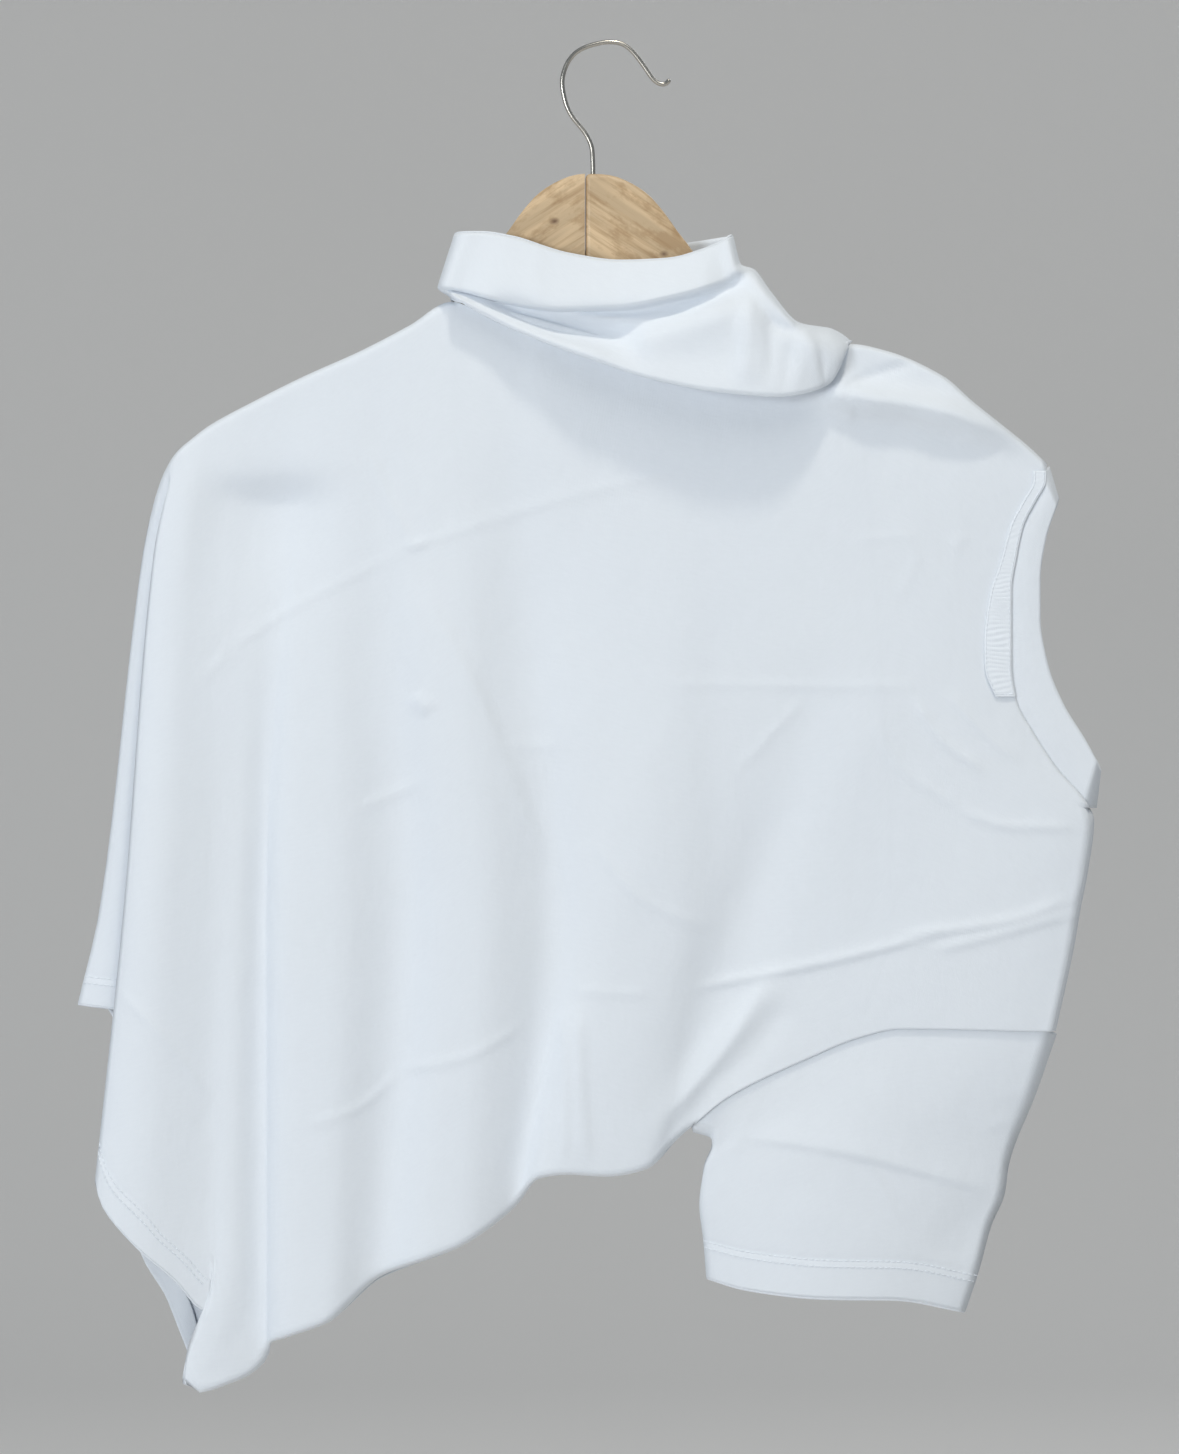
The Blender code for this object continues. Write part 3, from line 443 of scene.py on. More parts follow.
# %% Wood, steel and the backdrop's paper
WOOD_LIGHT = (0.72, 0.535, 0.33)
WOOD_DARK = (0.33, 0.195, 0.085)
WOOD_KNOT = (0.16, 0.09, 0.05)
KNOTS = {-1: (-0.0232, -0.0898), 1: (0.0325, -0.1065)}     # (x, z) of each arm's knot, in metres
KNOT_SIZE = 0.0026
GRAIN_TILT = 33.0       # degrees from level, mirrored on the other half
WOOD_NOISES = {         # scale, detail, roughness, and the share of its scale along the grain
    "grain": (420.0, 4.0, 0.6, 0.05),
    "bands": (95.0, 3.0, 0.6, 0.12),
    "blotch": (110.0, 6.0, 0.65, 0.5),
    "pores": (1500.0, 2.0, 0.5, 0.08),
}
STEEL = (0.56, 0.53, 0.48)
STEEL_ROUGHNESS = 0.24
DULL_ROUGHNESS = 0.42   # of the spots where the plating has gone dull
PAPER = (0.815, 0.80, 0.79)


def wood(name, side):
    """Pale wood of one half of the hanger: side is -1 for the left and +1 for the right one."""
    made, tree, surface = finish(name, WOOD_LIGHT, 0.5, Coat_Weight=0.12, Coat_Roughness=0.35)
    place = node(tree, "ShaderNodeTexCoord")
    turn = (0, -side * math.radians(GRAIN_TILT), 0)
    grain, bands, blotch, pores = (
        noise(tree, place.outputs["Object"], scale, detail, rough, (drawn, 1, 1), turn)
        for scale, detail, rough, drawn in WOOD_NOISES.values())

    x, z = KNOTS[side]
    away = node(tree, "ShaderNodeVectorMath", {0: place.outputs["Object"], 1: (x, 0, z)},
                operation="SUBTRACT").outputs[0]
    flat = node(tree, "ShaderNodeVectorMath", {0: away, 1: (1.0, 0.0, 1.4)},
                operation="MULTIPLY").outputs[0]
    reach = node(tree, "ShaderNodeVectorMath", {0: flat}, operation="LENGTH").outputs["Value"]
    wobble = maths(tree, "ADD", reach, maths(tree, "MULTIPLY", grain, 0.002))
    knot = node(tree, "ShaderNodeMapRange", {"Value": wobble, "From Min": KNOT_SIZE * 0.4,
                                             "From Max": KNOT_SIZE * 1.5, "To Min": 1.0,
                                             "To Max": 0.0}, clamp=True).outputs[0]

    def contrast(value, low, high):
        return node(tree, "ShaderNodeMapRange", {"Value": value, "From Min": low, "From Max": high},
                    clamp=True).outputs[0]

    base = mix(tree, contrast(bands, 0.40, 0.62), WOOD_LIGHT, tuple(0.74 * c for c in WOOD_LIGHT))
    lined = mix(tree, maths(tree, "MULTIPLY", contrast(grain, 0.5, 0.7), 0.6), base, WOOD_DARK)
    patched = mix(tree, maths(tree, "MULTIPLY", contrast(blotch, 0.48, 0.6), 0.5), lined, WOOD_DARK)
    colour = mix(tree, knot, patched, WOOD_KNOT)
    tree.links.new(colour, surface.inputs["Base Color"])
    rough = node(tree, "ShaderNodeMapRange", {"Value": grain, "To Min": 0.42, "To Max": 0.6})
    tree.links.new(rough.outputs[0], surface.inputs["Roughness"])
    height = maths(tree, "ADD", maths(tree, "MULTIPLY", grain, 0.6), maths(tree, "MULTIPLY", pores, 0.4))
    tree.links.new(bump(tree, height, 0.0003, 0.5), surface.inputs["Normal"])
    return made


def plated_steel():
    """Bright plated wire: faint drawing lines and a few dull spots."""
    made, tree, surface = finish("plated_steel", STEEL, STEEL_ROUGHNESS, Metallic=1.0)
    place = node(tree, "ShaderNodeTexCoord")
    spots = noise(tree, place.outputs["Object"], 150.0, 3.0, 0.6)
    dull = node(tree, "ShaderNodeMapRange", {"Value": spots, "From Min": 0.5, "From Max": 0.72,
                                             "To Min": STEEL_ROUGHNESS,
                                             "To Max": DULL_ROUGHNESS}, clamp=True)
    tree.links.new(dull.outputs[0], surface.inputs["Roughness"])
    tree.links.new(mix(tree, spots, STEEL, tuple(0.72 * c for c in STEEL)), surface.inputs["Base Color"])
    lines = noise(tree, place.outputs["Object"], 1800.0, 2.0)
    tree.links.new(bump(tree, lines, 0.00002, 0.12), surface.inputs["Normal"])
    return made


def paper():
    """Pale matt paper with a little tooth."""
    made, tree, surface = finish("studio_paper", PAPER, 1.0)
    place = node(tree, "ShaderNodeTexCoord")
    tooth = noise(tree, place.outputs["Object"], 300.0)
    tree.links.new(bump(tree, tooth, 0.0005, 0.2), surface.inputs["Normal"])
    return made


studio()
backdrop(paper())
white_jersey = cotton("white_jersey", SHIRT_WHITE)
white_rib = cotton("white_rib", RIB_WHITE, ribbed=True)
white_tape = cotton("white_tape", TAPE_WHITE)
thread = sewing_thread()
print("cloth finishes:", [made.name for made in (white_jersey, white_rib, white_tape, thread)])

# %% [markdown]
# ## Back panel
#
# The back is a flat piece of jersey, 50 cm wide. Hung sideways, it falls in folds that start near
# the hanger and grow towards the bottom, like a curtain. So it is drawn as a curtain: each row of
# the table follows one ridge or valley from the top edge down to the bottom edge.

# %% Outline of the panels
UNDERARM_A = -76.0      # the upper armhole runs from here
SHOULDER_A = 128.0      # to here, between side seam and shoulder seam
TOP_EDGE = {            # its height at each x, for the near and the far panel
    "x": (-229, -226, -222, -216, -207, -199, -177, -151, -122, -97, -76, -60, -41, 20, 75, 105,
          120, 128, 146, 175, 190, 205, 218, 227),
    "near_z": (-240, -229, -218, -208, -200, -194, -182, -169, -156, -143, -131, -136.5, -142,
               -158, -169, -169, -162, -152.5, -156, -169, -182, -194, -204.5, -213),
    "far_z": (-240, -229, -218, -208, -200, -194, -182, -169, -156, -143, -131, -134, -139, -148,
              -152, -153, -152.5, -152.5, -156, -169, -182, -194, -204.5, -213),
}
NECK_POINT_B = -388.0   # the neckline ends here and shoulder B begins
RIGHT_EDGE = {          # its x at each height: the neckline, then shoulder B
    "z": (-213, -222, -232, -245, -261, -278, -298, -316, -334, -351, -369, -385, -395, -423,
          -438, -461, -502),
    "near_x": (227, 227, 222, 215.5, 212, 209.5, 209.5, 209.5, 212, 221, 233, 247, 251.5, 248,
               245, 241, 232),
    "far_x": (227, 225, 205, 182, 163, 152, 147, 149, 158, 176, 203, 240, 251.5, 248, 245, 241,
              232),
}
UPPER_Z = -260.0        # every hanging line has a station at this height
LOWER_Z = -440.0        # and at this one
ROLL = 2.6              # radius with which the cloth turns over at a seam

# %% Hanging lines of the back
# Each line has an x and a depth y at four heights: the top edge, UPPER_Z, LOWER_Z and its end at
# the bottom edge. steps is the way to the next line for the smooth curve laid across the lines: 2
# or 3 where the next one lies farther off.
LINE = ("name", "steps", "top_x", "top_y", "up_x", "up_y", "low_x", "low_y", "end_x", "end_z", "end_y")
NEAR_LINES = (
    ("side seam A",      1, -229.0,  0.0, -233.0,  0.0, -255.0,  0.0, -266.0, -488.0,  0.0),
    ("flap",             1, -227.0,  5.0, -230.0,  4.0, -250.0,  4.5, -258.0, -489.0,  4.5),
    ("flap inner",       2, -225.0,  6.0, -226.0,  4.6, -238.0,  5.0, -243.0, -491.0,  5.0),
    ("pleat root",       1, -222.5,  7.0, -220.5,  5.5, -214.0,  6.0, -208.0, -528.0,  6.0),
    ("pleat turn",       1, -220.5,  8.0, -218.0,  7.2, -209.5,  8.7, -203.0, -540.0,  8.7),
    ("pleat return",     1, -218.5,  9.6, -220.0,  9.0, -215.0, 11.2, -211.0, -548.0, 11.2),
    ("lobe 1 behind",    1, -216.5,  9.6, -223.5, 10.4, -236.0, 12.4, -249.0, -566.0, 12.4),
    ("lobe 1 edge",      1, -214.5,  9.6, -226.5, 12.4, -241.5, 15.8, -256.0, -577.0, 15.8),
    ("lobe 1 left",      1, -211.5,  9.6, -223.5, 14.0, -238.0, 20.0, -252.5, -589.0, 20.0),
    ("lobe 1 middle",    2, -205.0,  9.6, -214.0, 14.8, -226.0, 22.0, -236.0, -609.0, 23.0),
    ("lobe 1 right",     1, -197.0,  9.6, -203.0, 12.6, -209.0, 17.0, -215.0, -628.0, 17.5),
    ("lobe 1 end",       1, -190.0,  9.6, -196.0, 11.4, -199.5, 13.4, -203.0, -642.0, 13.0),
    ("lobe 1 turn",      1, -185.0,  9.6, -191.0, 10.8, -194.5, 11.8, -197.0, -644.0, 11.4),
    ("corner hidden",    1, -181.0,  9.6, -187.5, 10.5, -192.5, 11.4, -195.5, -655.0, 11.6),
    ("corner front",     1, -178.5,  9.6, -184.5, 10.3, -190.0, 11.6, -194.0, -669.0, 13.8),
    ("corner edge",      1, -176.0,  9.6, -181.5, 10.1, -187.5, 12.0, -191.5, -679.0, 15.0),
    ("corner B",         1, -173.0,  9.6, -178.5, 10.0, -184.0, 11.8, -188.0, -686.0, 15.0),
    ("corner ridge",     1, -168.0,  9.6, -173.5,  9.6, -179.5,  9.6, -182.5, -682.0, 12.5),
    ("corner right",     1, -163.0,  9.6, -168.5,  9.4, -174.5,  6.4, -176.0, -676.0,  7.4),
    ("deep valley",      1, -159.0,  9.6, -163.5,  9.6, -170.0,  4.4, -169.5, -668.0,  4.8),
    ("lobe 2 edge",      1, -156.0,  9.6, -159.0, 10.4, -168.0,  8.8, -168.0, -661.0,  9.6),
    ("lobe 2 front",     2, -150.0,  9.6, -153.0, 11.8, -160.0, 16.2, -160.0, -658.0, 17.4),
    ("lobe 2 right",     1, -134.0,  9.6, -136.0, 12.5, -133.0, 17.5, -138.0, -650.0, 18.5),
    ("valley 2",         1, -115.0,  9.6, -112.0, 10.2, -102.0,  7.4, -112.0, -627.0,  7.0),
    ("lobe 3 left",      1,  -96.0,  9.6,  -92.0, 12.5,  -80.0, 16.5,  -88.0, -618.0, 17.0),
    ("lobe 3 right",     2,  -76.0,  9.6,  -72.0, 13.8,  -60.0, 19.2,  -72.0, -612.0, 17.6),
    ("lobe 3 end",       1,  -60.0, 10.0,  -58.0, 12.5,  -42.0, 14.0,  -56.0, -602.0, 13.0),
    ("valley 3",         1,  -45.0, 10.0,  -42.0, 10.8,  -24.0,  7.2,  -43.0, -591.0,  7.0),
    ("lobe 4 edge",      1,  -30.0, 12.0,  -24.0, 12.5,   -8.0, 14.0,  -31.0, -577.0, 16.0),
    ("lobe 4 left",      1,  -14.0, 12.0,   -6.0, 13.0,    6.0, 17.0,  -16.0, -575.0, 18.0),
    ("lobe 4 middle",    1,    6.0, 12.0,   14.0, 13.0,   22.0, 17.5,    4.0, -576.0, 17.0),
    ("lobe 4 right",     1,   28.0, 12.0,   36.0, 13.0,   40.0, 16.5,   24.0, -572.0, 14.0),
    ("armpit valley",    1,   50.0, 12.0,   57.0, 12.0,   60.0, 12.0,   36.0, -560.0,  9.0),
    ("underarm B",       1,   70.0, 12.0,   76.0, 12.0,   77.0, 10.5,   46.0, -551.0,  9.0),
    ("armhole low",      2,   88.0, 12.0,   95.0, 12.0,   96.0, 11.0,   64.0, -536.0, 11.0),
    ("armhole middle",   1,  119.0, 12.0,  127.0, 12.0,  132.0, 11.5,  108.0, -514.5, 12.0),
    ("shoulder point A", 1,  128.0, 11.0,  139.0, 12.0,  148.0, 12.0,  130.0, -505.5, 12.0),
    ("armhole high",     2,  146.0, 10.0,  155.0, 12.0,  165.0, 12.5,  152.0, -500.6, 12.0),
    ("shoulder middle",  1,  180.0, 10.0,  184.0, 11.5,  193.0, 13.0,  187.0, -501.0, 12.0),
    ("tape line",        1,  208.0,  9.6,  213.0, 10.0,  216.0, 12.0,  217.0, -502.0, 10.0),
    ("edge inner",       1,  220.0,  9.6,  222.5,  9.5,  225.5, 10.0,  226.0, -502.0,  9.0),
    ("edge roll",        1,  225.0,  9.6,  226.3,  9.0,  229.4,  9.0,  230.2, -502.0,  9.0),
    ("edge turn",        1,  226.8,  9.6,  227.6,  9.0,  230.8,  9.0,  231.8, -502.0,  9.0),
    ("right edge",       0,  227.0,  9.6,  227.8,  9.0,  231.0,  9.0,  232.0, -502.0,  9.0),
)
SWING_Z = -618.0        # below this the hem's corner swings to the left, in front of the lobe beside it
SWING = {"corner hidden": -6.0, "corner front": -15.5, "corner edge": -19.5, "corner B": -15.5,
         "corner ridge": -7.5, "corner right": -1.0}

# %% [markdown]
# The front hangs behind the back, and little more than its hem shows past it. So its lines follow
# the same lobes with fewer and shallower folds, and its neckline is cut deeper.

# %% Hanging lines of the front
FAR_LINES = (
    ("side seam A",      1, -229.0,  0.0, -233.0,  0.0, -255.0,  0.0, -266.0, -488.0,  0.0),
    ("hem lobe",         1, -225.0,  7.0, -229.0,  6.0, -249.0,  8.0, -252.0, -490.0,  8.0),
    ("hem behind",       1, -220.0,  8.5, -223.0,  8.0, -239.0, 10.0, -243.5, -520.0, 10.0),
    ("hem middle",       1, -214.0,  9.6, -217.0,  9.5, -228.0, 12.0, -237.0, -608.0, 13.0),
    ("hem fold",         1, -200.0,  9.6, -204.0, 10.0, -213.0, 17.0, -221.0, -639.0, 11.0),
    ("hem end",          1, -186.0,  9.6, -190.0, 10.0, -199.0, 13.0, -211.0, -664.0,  7.0),
    ("corner B",         1, -174.0,  9.6, -178.0, 10.0, -188.0, 10.0, -203.0, -686.0,  8.0),
    ("corner right",     1, -163.0,  9.6, -167.0, 10.0, -175.0, 11.0, -179.0, -676.0,  8.0),
    ("lobe A left",      1, -152.0,  9.6, -155.0, 11.0, -162.0, 18.0, -167.0, -660.0, 14.0),
    ("lobe A right",     1, -134.0,  9.6, -138.0, 11.5, -138.0, 18.0, -140.0, -651.0, 16.0),
    ("valley A",         2, -112.0,  9.6, -112.0, 11.0, -108.0, 10.0, -112.0, -628.0,  8.0),
    ("lobe B",           3,  -78.0,  9.6,  -78.0, 12.0,  -68.0, 20.0,  -74.0, -613.0, 17.0),
    ("valley B",         1,  -48.0, 10.0,  -42.0, 11.0,  -28.0, 10.0,  -44.0, -592.0,  8.0),
    ("lobe C edge",      1,  -34.0, 11.0,  -28.0, 12.0,  -14.0, 14.0,  -31.0, -575.5, 13.0),
    ("lobe C",           2,  -18.0, 12.0,  -12.0, 13.0,    0.0, 19.0,  -16.0, -574.0, 17.0),
    ("lobe C right",     2,   22.0, 12.0,   26.0, 13.5,   34.0, 16.0,   20.0, -573.0, 14.0),
    ("underarm B",       2,   62.0, 12.0,   70.0, 12.0,   72.0, 11.0,   46.0, -551.0,  9.0),
    ("armhole middle",   1,  110.0, 12.0,  118.0, 13.0,  124.0, 13.0,  104.0, -518.0, 12.0),
    ("shoulder point A", 2,  128.0, 11.0,  138.0, 13.0,  146.0, 13.0,  128.0, -508.0, 12.0),
    ("shoulder middle",  1,  176.0, 10.0,  180.0, 12.5,  188.0, 14.0,  182.0, -501.0, 12.0),
    ("edge inner",       1,  212.0,  9.6,  215.0, 11.0,  218.0, 11.0,  219.0, -502.0,  9.0),
    ("edge roll",        1,  225.0,  9.6,  226.3, 10.0,  229.4,  9.0,  230.2, -502.0,  9.0),
    ("right edge",       0,  227.0,  9.6,  227.8, 10.0,  231.0,  9.0,  232.0, -502.0,  9.0),
)

# %% [markdown]
# The lines give the broad form. On top of it lie two kinds of smaller form: narrow creases, where
# the shirt was folded in a drawer or pulled by the hanger, and broad rolls and hollows. Sculpting
# would make them too, but rows of a table can be read and changed one by one.

# %% Creases of the back, from the long pressed one to the small marks beside the neck
BACK_CREASES = (
    (-214, -335, -180, -302,  -94, -254,  0.62, 2.2,  2.2, 1.4),
    (-112, -262,  -26, -233,   60, -212,  0.59, 2.2,  2.2, 1.4),
    (-120, -201, -104, -238,  -94, -256,  0.94, 2.2,  3.6, 1.5),
    (-100, -252,  -95, -255,  -88, -253,  1.17, 1.8,  1.8, 1.6),
    ( -95, -331,  -90, -336,  -86, -340,  1.44, 4.0,  4.0, 2.0),
    ( -93, -269,  -62, -330,  -25, -422,  1.44, 2.6, 12.0, 1.5),
    ( -48, -355,  -36, -357,  -20, -356,  0.52, 2.2,  2.2, 1.4),
    (-124, -389, -107, -382,  -89, -374,  0.73, 2.2,  2.4, 1.5),
    (  -5, -402,   18, -432,   62, -453,  0.83, 2.4,  2.2, 1.4),
    ( -16, -481,    6, -482,   28, -483,  0.73, 2.2,  2.2, 1.4),
    (  39, -482,  118, -466,  180, -450,  1.46, 3.0,  2.2, 1.4),
    ( 150, -454,  211, -445,  246, -431,  1.44, 2.6,  2.2, 1.4),
    ( 165, -462,  205, -452,  246, -440,  1.25, 2.2,  2.2, 1.4),
    (  21, -325,   81, -326,  170, -327,  0.52, 2.2,  2.2, 1.4),
    ( 105, -331,   86, -352,   69, -372,  0.62, 2.2,  2.6, 1.4),
    ( 137, -338,  151, -366,  190, -392,  0.73, 2.4,  2.4, 1.4),
    ( 180, -389,  211, -398,  246, -398,  1.04, 2.4,  2.4, 1.4),
    ( 158, -330,  172, -352,  198, -372,  1.04, 2.4,  2.4, 1.4),
    ( 174, -327,  190, -345,  214, -367,  0.83, 2.4,  2.4, 1.4),
    ( 178, -258,  183, -253,  188, -249,  0.62, 2.4,  2.4, 1.5),
    ( 126, -252,  145, -251,  164, -249,  0.38, 2.2,  2.2, 1.4),
    ( 150, -240,  160, -262,  150, -285,  0.38, 2.4,  2.4, 1.4),
    (-153, -551, -122, -540, -100, -520,  0.73, 2.2,  2.2, 1.4),
    (-106, -522,  -72, -516,  -36, -497,  0.83, 2.4,  2.2, 1.4),
    (-245, -480, -222, -504, -197, -538,  0.83, 2.2,  2.2, 1.4),
    ( -11, -484,  -10, -530,   -6, -574,  1.75, 2.6,  5.0, 1.5),
    ( -19, -486,  -18, -530,  -19, -574,  1.46, 2.4,  2.4, 1.5),
    (  88, -470,   66, -508,   30, -550,  1.30, 4.5,  3.0, 1.6),
    (  95, -486,   78, -512,   60, -532, -1.04, 7.0,  7.0, 2.0),
    ( 121, -175,  143, -167,  164, -160, -1.80, 2.0,  2.6, 1.4),
)

# %% Broad rolls and hollows of the back, then the rolls and creases of the front
BACK_ROLLS = (
    (  96, -172,  131, -181,  166, -186, 10.0,  7.0,  5.0, 2.0),
    ( 128, -179,  170, -187,  222, -203, 11.0,  7.0,  5.0, 2.0),
    (-214, -228, -174, -232, -120, -233, -6.6,  9.0, 46.0, 2.0),
    ( 104, -460,   62, -509,   14, -572,  3.0,  7.0,  7.0, 2.0),
    ( -46, -190,  -32, -285,  -52, -380, -2.4, 24.0, 20.0, 2.0),
    ( 128, -290,   76, -430,   10, -590, -3.4, 19.0, 15.0, 2.0),
    ( 150, -270,  128, -360,  100, -450,  1.6, 26.0, 24.0, 2.0),
    (  36, -290,   20, -400,   -6, -510,  1.6, 22.0, 20.0, 2.0),
    (-112, -220,  -84, -330,  -62, -440,  1.8, 16.0, 16.0, 2.0),
)
FRONT_ROLLS = (
    ( 120, -196, 155, -206, 190, -214, 6.0,  9.0,  9.0, 2.0),
    (  60, -480,  50, -505,  40, -530, 5.0,  9.0,  9.0, 2.0),
    (-150, -250, -90, -300, -60, -380, 2.0,  8.0, 12.0, 2.0),
    (  60, -260,  90, -330,  80, -420, 2.5, 12.0,  9.0, 2.0),
)
FRONT_CREASES = (
    (-190, -330,  -60, -270,   60, -235, 0.8, 2.8, 2.8, 1.3),
    ( -30, -420,   40, -455,  120, -450, 1.2, 3.0, 4.0, 1.4),
    ( 120, -470,  180, -452,  240, -440, 1.6, 3.0, 3.0, 1.4),
    (-150, -540, -100, -525,  -40, -500, 1.0, 2.8, 2.8, 1.3),
    (  90, -300,  110, -350,  170, -392, 1.2, 3.0, 3.6, 1.4),
    (-215, -420, -190, -470, -180, -520, 1.2, 3.0, 4.0, 1.4),
)

# %% [markdown]
# The same function makes the back and the front. Down each hanging line it sets a row of points
# through four stations, pulls the lines beside the neck into its curve, and turns the cloth over
# where it is sewn to the other panel. Rows crowd there, because a tight turn needs more points.

# %% Panels
COLUMNS = 214           # hanging lines of one panel's grid
ROWS = 200              # points down each of them, without the rolled ends
ROLL_ROWS = 10          # points down each rolled end
FINE_PLACES = 4000      # places at which a panel's width is measured, to space its columns
PANEL_SOFTEN = 5        # rounds of evening out after the rolls are added
SEAM_HALF = 0.48        # half the distance between two walls that are sewn together
NECK_REACH = {"near": 70.0, "far": 180.0}       # how far from the neck its curve pulls the lines
TURN_ROWS = 4           # rows over which the edge of armhole B turns in to the sleeve
TURN_IN = 0.7           # and how far it turns in


def line_columns(lines):
    """Even steps across the panel, as places in the table, with both seam corners among them."""
    table = [dict(zip(LINE, row)) for row in lines]
    knots = np.cumsum([0] + [line["steps"] for line in table[:-1]])
    fine = np.linspace(0, knots[-1], FINE_PLACES)
    reach = 0
    for x, y in (("low_x", "low_y"), ("end_x", "end_y"), ("up_x", "up_y")):
        points = np.stack([smooth(knots, [line[key] for line in table], fine) for key in (x, y)], axis=-1)
        reach = reach + lengths(points)
    at = np.interp(np.linspace(0, reach[-1], COLUMNS), reach, fine)
    names = [line["name"] for line in table]
    corners = [knots[names.index(name)] for name in ("corner B", "underarm B")]
    for corner in corners:
        at[np.argmin(np.abs(at - corner))] = corner
    return table, knots, at, corners


def panel(lines, which, rolls, marks, swing):
    """Grid [column, row] of one panel; which is near or far. Also what its seams need to know."""
    table, knots, at, (corner, underarm) = line_columns(lines)
    line = {key: smooth(knots, [row[key] for row in table], at) for key in LINE[2:]}
    top = smooth(TOP_EDGE["x"], TOP_EDGE[which + "_z"], line["top_x"])
    swung = smooth(knots, [swing.get(row["name"], 0.0) for row in table], at)

    turn = np.radians(np.linspace(0, 90, ROLL_ROWS))
    rolled, spaced = ROLL * (1 - np.cos(turn)), ROLL * np.linspace(0, 1, ROLL_ROWS)
    sewn_top = (line["top_x"] <= UNDERARM_A) | (line["top_x"] >= SHOULDER_A)
    sewn_end = (at >= corner) & (at <= underarm)
    inner = np.linspace(0, 1, ROWS + 2)[1:-1]
    x, y, z = np.empty((3, len(at), ROWS + 2 * ROLL_ROWS))
    for c in range(len(at)):
        high, low = top[c] - ROLL, line["end_z"][c] + ROLL
        first = top[c] - (rolled if sewn_top[c] else spaced)
        last = line["end_z"][c] + (rolled if sewn_end[c] else spaced)[::-1]
        z[c] = np.concatenate((first, high + inner * (low - high), last))
        stations = -np.array((top[c], UPPER_Z, LOWER_Z, line["end_z"][c]))
        x[c] = smooth(stations, [line[key][c] for key in ("top_x", "up_x", "low_x", "end_x")], -z[c])
        y[c] = smooth(stations, [line[key][c] for key in ("top_y", "up_y", "low_y", "end_y")], -z[c])
        x[c] += swung[c] * ease((SWING_Z - z[c]) / (SWING_Z - min(line["end_z"][c], SWING_Z - 1)))

    straight = x[-1].copy()     # beside the neck the right edge is pulled into the neck's curve
    wanted = smooth(-np.array(RIGHT_EDGE["z"]), RIGHT_EDGE[which + "_x"], -z[-1])
    pull = smooth(-z[-1], wanted - straight, -z)
    x = x + pull * np.clip(1 - (straight - x) / NECK_REACH[which], 0, 1)

    flat = np.stack((x, z), axis=-1)
    seams = (flat[line["top_x"] <= UNDERARM_A, 0], flat[line["top_x"] >= SHOULDER_A, 0],
             flat[sewn_end, -1], flat[-1][z[-1] <= NECK_POINT_B])
    away = np.min([nearest(x, z, seam)[0] for seam in seams], axis=0)
    y = soften(y + creases(x, z, rolls, ROLL_END), PANEL_SOFTEN)
    y = y * rounding(away, ROLL) + creases(x, z, marks) * ease(away / ROLL)
    y[at > underarm, -TURN_ROWS:] -= TURN_IN * (1 - np.sqrt(1 - np.linspace(0, 1, TURN_ROWS) ** 2))
    y = np.maximum(y, SEAM_HALF) * (-1 if which == "near" else 1)
    return np.stack((x, y, z), axis=-1), {"top_x": line["top_x"], "hem": at <= corner,
                                          "armhole": at > underarm}


near, near_info = panel(NEAR_LINES, "near", BACK_ROLLS, BACK_CREASES, SWING)
far, far_info = panel(FAR_LINES, "far", FRONT_ROLLS, FRONT_CREASES, {})
print("panel grids:", near.shape, far.shape)

# %% [markdown]
# A hem is the cloth's edge folded in and sewn down. From outside it shows as a slightly raised
# band with a line of stitches, and at the edge as a rounded fold. The folded-in allowance is a
# strip of its own here: it starts at the edge, turns over and goes back up on the inside.

# %% Hems
HEM_DEPTH = 14.0        # of the body
CUFF_DEPTH = 19.0       # of a sleeve
HEM_RAISE = 0.5         # how far a hem's band stands out
HEM_PAST = 1.5          # the band ends this far past its stitches
HEM_STEP = 2.0          # and falls back over this width
STITCH_GROOVE = 0.55    # depth of the groove that the stitches pull
GROOVE_WIDTH = 1.5
FOLD_RADIUS = 0.75      # with which the hem's cloth turns over at the edge
FOLD_TURN = 150.0       # degrees that it turns
FOLD_ROWS = 6
ALLOWANCE_WALL = 0.95 * JERSEY_WALL


def edge_distance(grid, edge, layer=4.0):
    """Distance from each point of a grid to an edge line; layers of cloth in y count as far apart."""
    weight = np.array((1.0, layer, 1.0))
    best = np.full(grid.shape[:2], 1e9)
    for a, b in zip(edge[:-1] * weight, edge[1:] * weight):
        run = b - a
        t = np.clip(((grid * weight - a) @ run) / max(run @ run, 1e-9), 0, 1)
        best = np.minimum(best, np.linalg.norm(grid * weight - a - t[..., None] * run, axis=-1))
    return best


def hem_relief(away, depth):
    """A hem's raised band with the groove of its stitches, from the distance to the edge."""
    band = HEM_RAISE * ease((depth + HEM_PAST - away) / HEM_STEP)
    return band - STITCH_GROOVE * np.exp(-((away - depth) / GROOVE_WIDTH) ** 2)


def allowance(name, grid, depth, inward, material, closed=False):
    """The folded-in strip of a hem whose edge is the grid's last row. inward is a unit field."""
    edge = grid[:, -1]
    run = edge - grid[:, -3]
    run = run / np.linalg.norm(run, axis=1)[:, None]
    back = np.cumsum(np.linalg.norm(np.diff(grid[:, ::-1], axis=1), axis=2), axis=1)
    count = max(3, int(np.median(np.argmax(back > depth, axis=1))))
    rows = [edge + FOLD_RADIUS * (math.sin(a) * run + (1 - math.cos(a)) * inward)
            for a in np.radians(np.linspace(0, FOLD_TURN, FOLD_ROWS))]
    rows += [grid[:, -1 - k] + 2 * FOLD_RADIUS * inward for k in range(1, count)]
    return cloth(name, np.stack(rows, axis=1), ALLOWANCE_WALL, material, closed)


# %% [markdown]
# ## Stitches
#
# A twin-needle machine leaves two rows of short stitches. One stitch is modelled once, as a small
# closed capsule, and copied along the row; all the stitches of a seam make one piece.

